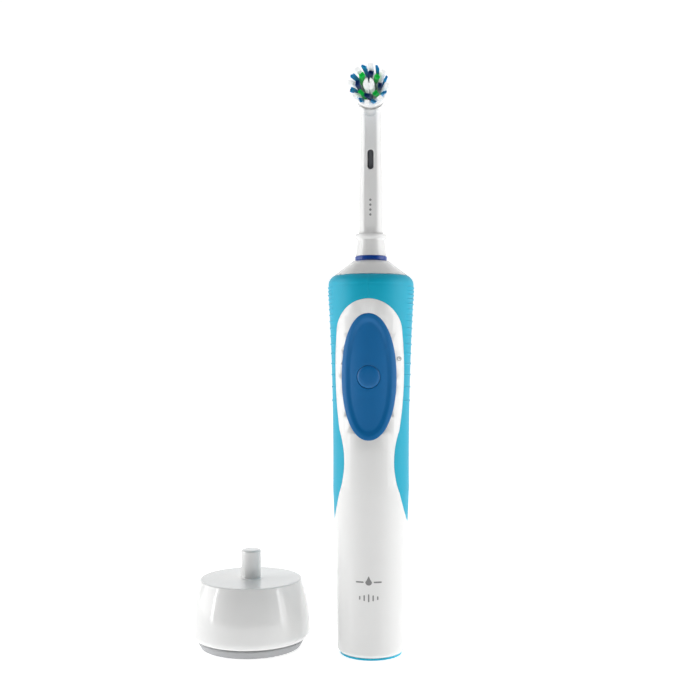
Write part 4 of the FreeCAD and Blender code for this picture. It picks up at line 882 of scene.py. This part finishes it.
class BRUSH_OT_bristles(bpy.types.Operator):
    """Model the disc, its centre pad and the tufts of filaments"""
    bl_idname = "brush.bristles"
    bl_label = "Bristles"

    # Directions of the tips round the disc, in degrees, counter-clockwise from +X as seen from the front
    cyan = (105.5, 61, 16.5, -29.5, -73, -117, 198, 151)
    white = (84, 39, -6, -51, -95, -139.5, 174.5, 128)
    navy = (77, -9, -98, 175)
    green = (126, 39, -55, -134)

    def execute(self, context):
        sizes = context.scene.brush_head
        self.step = sizes.spacing / MM
        self.thick = sizes.filament / MM / 2
        self.front = HANDLE.y - 5.5
        self.tips = (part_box("tufts_cyan")[0].y / MM) + 0.12
        centre = Vector((HANDLE.x, HANDLE.y - 2.2, DISC.z))
        disc = turned("bristle_disc",
                      [(0.001, 0), (6.2, 0), (6.5, 0.15), (6.6, 0.4), (6.6, 2.6), (6.52, 2.9), (6.3, 3.14),
                       (5.9, 3.27), (5.5, 3.3), (3.2, 3.3), (0.001, 3.3)], centre, 96, axis="-Y")
        slot = box_tool((HANDLE.x - 1.0, HANDLE.y - 4.0, DISC.z - 3.0),
                        (HANDLE.x + 1.0, HANDLE.y - 2.0, DISC.z - 0.6))
        bore = turned("bore", [(0.001, -1), (0.76, -1), (0.76, 2.0), (0.001, 2.0)], centre, 32, axis="-Y")
        carve(disc, slot, bore)
        finish(smooth(disc), "disc", "white_abs", MATERIALS["glossy_white_abs"], "disc_carrier")
        rows = []
        for grow, lift in ((-0.6, 0.0), (0, 0.0), (0, 0.5), (-0.08, 0.68), (-0.25, 0.78), (-0.5, 0.8),
                           (-2.3, 0.8)):
            rows.append([Vector((HANDLE.x + x, self.front - lift, DISC.z + z))
                         for x, z in oval_line(2.5 + grow, 3.0 + grow, 64)])
        pad = capped("centre_pad", rows, DISC.z)
        finish(smooth(pad, 50), "disc", "base_pad_grey", MATERIALS["grey_elastomer"], "centre_base")
        outer = dict(foot=4.9, tip=6.85, twist=7)
        inner = dict(foot=3.7, tip=4.3, twist=-14, across=2.0, deep=1.45)
        for name, angles, slot_name, material, shape in (
                ("cyan_tufts", self.cyan, "bristle_cyan", "cyan_nylon",
                 dict(outer, across=2.5, deep=2.1, hook=True)),
                ("white_tufts", self.white, "bristle_white", "clear_nylon_painted_glow",
                 dict(outer, tip=7.0, across=1.9, deep=1.8)),
                ("navy_tufts", self.navy, "bristle_navy", "navy_nylon", inner),
                ("green_tufts", self.green, "bristle_green", "green_nylon", inner)):
            chance = random.Random(len(name) * 7 + len(angles))
            strands = []
            for angle in angles:
                strands += self.tuft(angle, chance, **shape)
            piece = self.bundle(name, strands)
            finish(piece, "disc", slot_name, MATERIALS[material], "tufts_" + name.split("_")[0])
        chance = random.Random(5)
        piece = self.bundle("middle_tufts", self.middle(chance))
        finish(piece, "disc", "bristle_white", MATERIALS["clear_nylon_painted_glow"], "tufts_centre")
        return {"FINISHED"}

    def tuft(self, angle, chance, foot, tip, twist, across, deep, hook=False):
        """Foot and tip points of one tuft's filaments; a hooked tuft is notched on its inner side."""
        strands = []
        columns, lines = round(across / self.step), round(deep / self.step)
        for i in range(columns):
            for j in range(lines):
                u = (i + 0.5) / columns - 0.5 + chance.uniform(-0.02, 0.02)
                v = (j + 0.5) / lines - 0.5 + chance.uniform(-0.02, 0.02)
                if hook and (v < abs(u + 0.12) - 0.42 or v > 0.46 - abs(u - 0.16) * 0.9):
                    continue
                high = chance.uniform(-0.1, 0.1)
                aside, out = u * across, v * deep
                strands.append((self.spot(angle - twist, foot, aside * FOOT_SHARE, out * FOOT_SHARE, 0.0),
                                self.spot(angle, tip, aside, out, high)))
        return strands

    def spot(self, angle, radius, aside, out, high):
        """A point over the disc, aside and outwards from a direction and radius, at the foot or the tip."""
        a = math.radians(angle)
        along, beside = Vector((math.cos(a), 0, math.sin(a))), Vector((-math.sin(a), 0, math.cos(a)))
        return along * (radius + out) + beside * aside + Vector((0, high, 0))

    def middle(self, chance):
        """The two half-oval tufts with the gap between them."""
        strands = []
        for i in range(-12, 13):
            for j in range(-14, 15):
                x, z = i * self.step, j * self.step
                if abs(x) < 0.2 + 0.06 * z * z or (x / 2.15) ** 2 + (z / 2.45) ** 2 > 1:
                    continue
                x, z = x + chance.uniform(-0.03, 0.03), z + chance.uniform(-0.03, 0.03)
                tip = Vector((x, chance.uniform(-0.08, 0.12) + 0.25, z))
                strands.append((Vector((x * 0.85, 0, z * 0.85)), tip))
        return strands

    def bundle(self, name, strands):
        """One mesh of many thin filaments, each with five sides and a rounded end."""
        points, faces = [], []
        foot_y, tip_y = self.front + 0.3, self.tips
        for foot, tip in strands:
            base = len(points)
            for share, slim in ((0.0, 1.0), (0.55, 1.0), (0.985, 0.95), (1.0, 0.5)):
                bend = share ** 1.25
                x = HANDLE.x + foot.x + (tip.x - foot.x) * bend
                z = DISC.z + foot.z + (tip.z - foot.z) * bend
                y = foot_y + (tip_y + tip.y - foot_y) * share
                thick = self.thick * slim
                for k in range(SIDES):
                    a = 2 * math.pi * k / SIDES
                    points.append(Vector((x + thick * math.cos(a), y, z + thick * math.sin(a))) * MM)
            for level in range(3):
                ring = base + level * SIDES
                for k in range(SIDES):
                    first, second = ring + k, ring + (k + 1) % SIDES
                    faces.append((first, second, second + SIDES, first + SIDES))
            faces.append([base + 3 * SIDES + k for k in range(SIDES)])
            faces.append([base + SIDES - 1 - k for k in range(SIDES)])
        mesh = bpy.data.meshes.new(name)
        mesh.from_pydata(points, [], faces)
        item = bpy.data.objects.new(name, mesh)
        bpy.context.scene.collection.objects.link(item)
        weld(item, 0.0000001)
        return smooth(item, 60)


class BRUSH_OT_marks(bpy.types.Operator):
    """Print the generic marks: a timer, a drop between two lines, a row of bars, and dots on the neck"""
    bl_idname = "brush.marks"
    bl_label = "Marks"

    def execute(self, context):
        self.strips = []
        self.ring(11.4, 114.2, 0.8, 0.16)
        self.bar(11.4, 114.45, 0.08, 0.33)
        self.bar(11.62, 114.2, 0.3, 0.08)
        self.drop(0, 30.0, 1.25)
        for side in (-1, 1):
            self.bar(side * 3.4, 30.0, 1.5, 0.28)
        for i in range(5):
            self.bar((i - 2) * 1.7, 24.0, 0.26, (0.7, 1.1, 1.5, 1.1, 0.7)[i])
        marks = joined("printed_marks", self.strips)
        finish(marks, "handle", "base_grey", MATERIALS["grey_ink"])
        self.strips = []
        for i in range(4):
            self.dot_on_neck(NECK_LOW + 15.8 + i * 1.9, 0.45)
        marks = joined("neck_marks", self.strips)
        finish(marks, "brush_head", "base_grey", MATERIALS["grey_ink"])
        return {"FINISHED"}

    def strip(self, outer, inner):
        """A raised strip between two closed lines of (x, z) on the handle's front."""
        rows = []
        for line, lift in ((outer, -0.05), (outer, 0.02), (inner, 0.02), (inner, -0.05), (outer, -0.05)):
            rows.append([on_handle(x, z, lift) for x, z in line])
        self.strips.append(sheet("strip", rows))

    def ring(self, x, z, radius, width):
        """A round ring."""
        outer, inner = oval_line(radius, radius, 48), oval_line(radius - width, radius - width, 48)
        self.strip([(x + u, z + v) for u, v in outer], [(x + u, z + v) for u, v in inner])

    def drop(self, x, z, size):
        """A filled drop."""
        outer = []
        for u, v in oval_line(1, 1, 48):
            point = 1 + 0.9 * max(v, 0) ** 6
            outer.append((x + size * u * (1 - 0.35 * max(v, 0)), z + size * point * v * 0.95))
        self.strip(outer, [(x, z)] * 49)

    def bar(self, x, z, half_w, half_h):
        """A filled bar with round ends."""
        outer, inner = stadium(half_w, half_h), stadium(half_w, half_h, 0.001 - min(half_w, half_h))
        self.strip([(x + u, z + v) for u, v in outer], [(x + u, z + v) for u, v in inner])

    def dot_on_neck(self, z, radius):
        """A flat dot on the neck's facet."""
        plane = NECK_R - bpy.context.scene.brush_head.facet / MM - 0.02
        rows = []
        for size, lift in ((radius, -0.06), (radius, 0.02), (0.01, 0.02), (0.01, -0.06), (radius, -0.06)):
            rows.append([HANDLE + Vector((u, -plane - lift, z + v)) for u, v in oval_line(size, size, 32)])
        self.strips.append(sheet("dot", rows))


def joined(name, items):
    """Join small pieces into one."""
    select(*items)
    bpy.ops.object.join()
    item = bpy.context.object
    item.name = name
    item.data.name = name
    weld(item, 0.000001)
    return item


class BRUSH_OT_inside(bpy.types.Operator):
    """Give every kept inner piece its finish"""
    bl_idname = "brush.inside"
    bl_label = "Inner pieces"

    def execute(self, context):
        for finish_name, nodes in KEPT_NODES.items():
            for node in nodes:
                mesh = frame["nodes"][node].data
                if not mesh.materials:
                    mesh.materials.append(None)
                for slot in frame["nodes"][node].material_slots:
                    slot.material = MATERIALS[finish_name]
        return {"FINISHED"}


class BRUSH_PT_panel(bpy.types.Panel):
    """Lists the steps that build the toothbrush"""
    bl_idname = "BRUSH_PT_panel"
    bl_label = "Toothbrush"
    bl_space_type = "VIEW_3D"
    bl_region_type = "UI"
    bl_category = "Toothbrush"

    def draw(self, context):
        for step in STEPS:
            self.layout.operator(step.bl_idname)
        for name in GROUPS:
            settings = getattr(context.scene, name)
            box = self.layout.box()
            for key in settings.__annotations__:
                box.prop(settings, key)


GROUPS = {
    "brush_colours": BrushColours,
    "brush_grip": GripSizes,
    "brush_head": BrushSizes,
    "brush_stage": StageSettings,
}
STEPS = [BRUSH_OT_stage, BRUSH_OT_charger, BRUSH_OT_housing, BRUSH_OT_grip, BRUSH_OT_switch, BRUSH_OT_neck,
         BRUSH_OT_bristles, BRUSH_OT_marks, BRUSH_OT_inside]


def register():
    """Register the settings, the steps and the panel."""
    for kind in (*GROUPS.values(), *STEPS, BRUSH_PT_panel):
        bpy.utils.register_class(kind)
    for name, kind in GROUPS.items():
        setattr(bpy.types.Scene, name, bpy.props.PointerProperty(type=kind))


def unregister():
    """Take the settings, the steps and the panel away again."""
    for name in GROUPS:
        delattr(bpy.types.Scene, name)
    for kind in reversed((*GROUPS.values(), *STEPS, BRUSH_PT_panel)):
        bpy.utils.unregister_class(kind)


def main():
    """Register the settings, the steps and the panel, make the materials, and run every step in order."""
    register()
    MATERIALS.update(make_materials(bpy.context.scene.brush_colours))
    for step in STEPS:
        group, name = step.bl_idname.split(".")
        getattr(getattr(bpy.ops, group), name)()


if __name__ == "__main__":
    main()
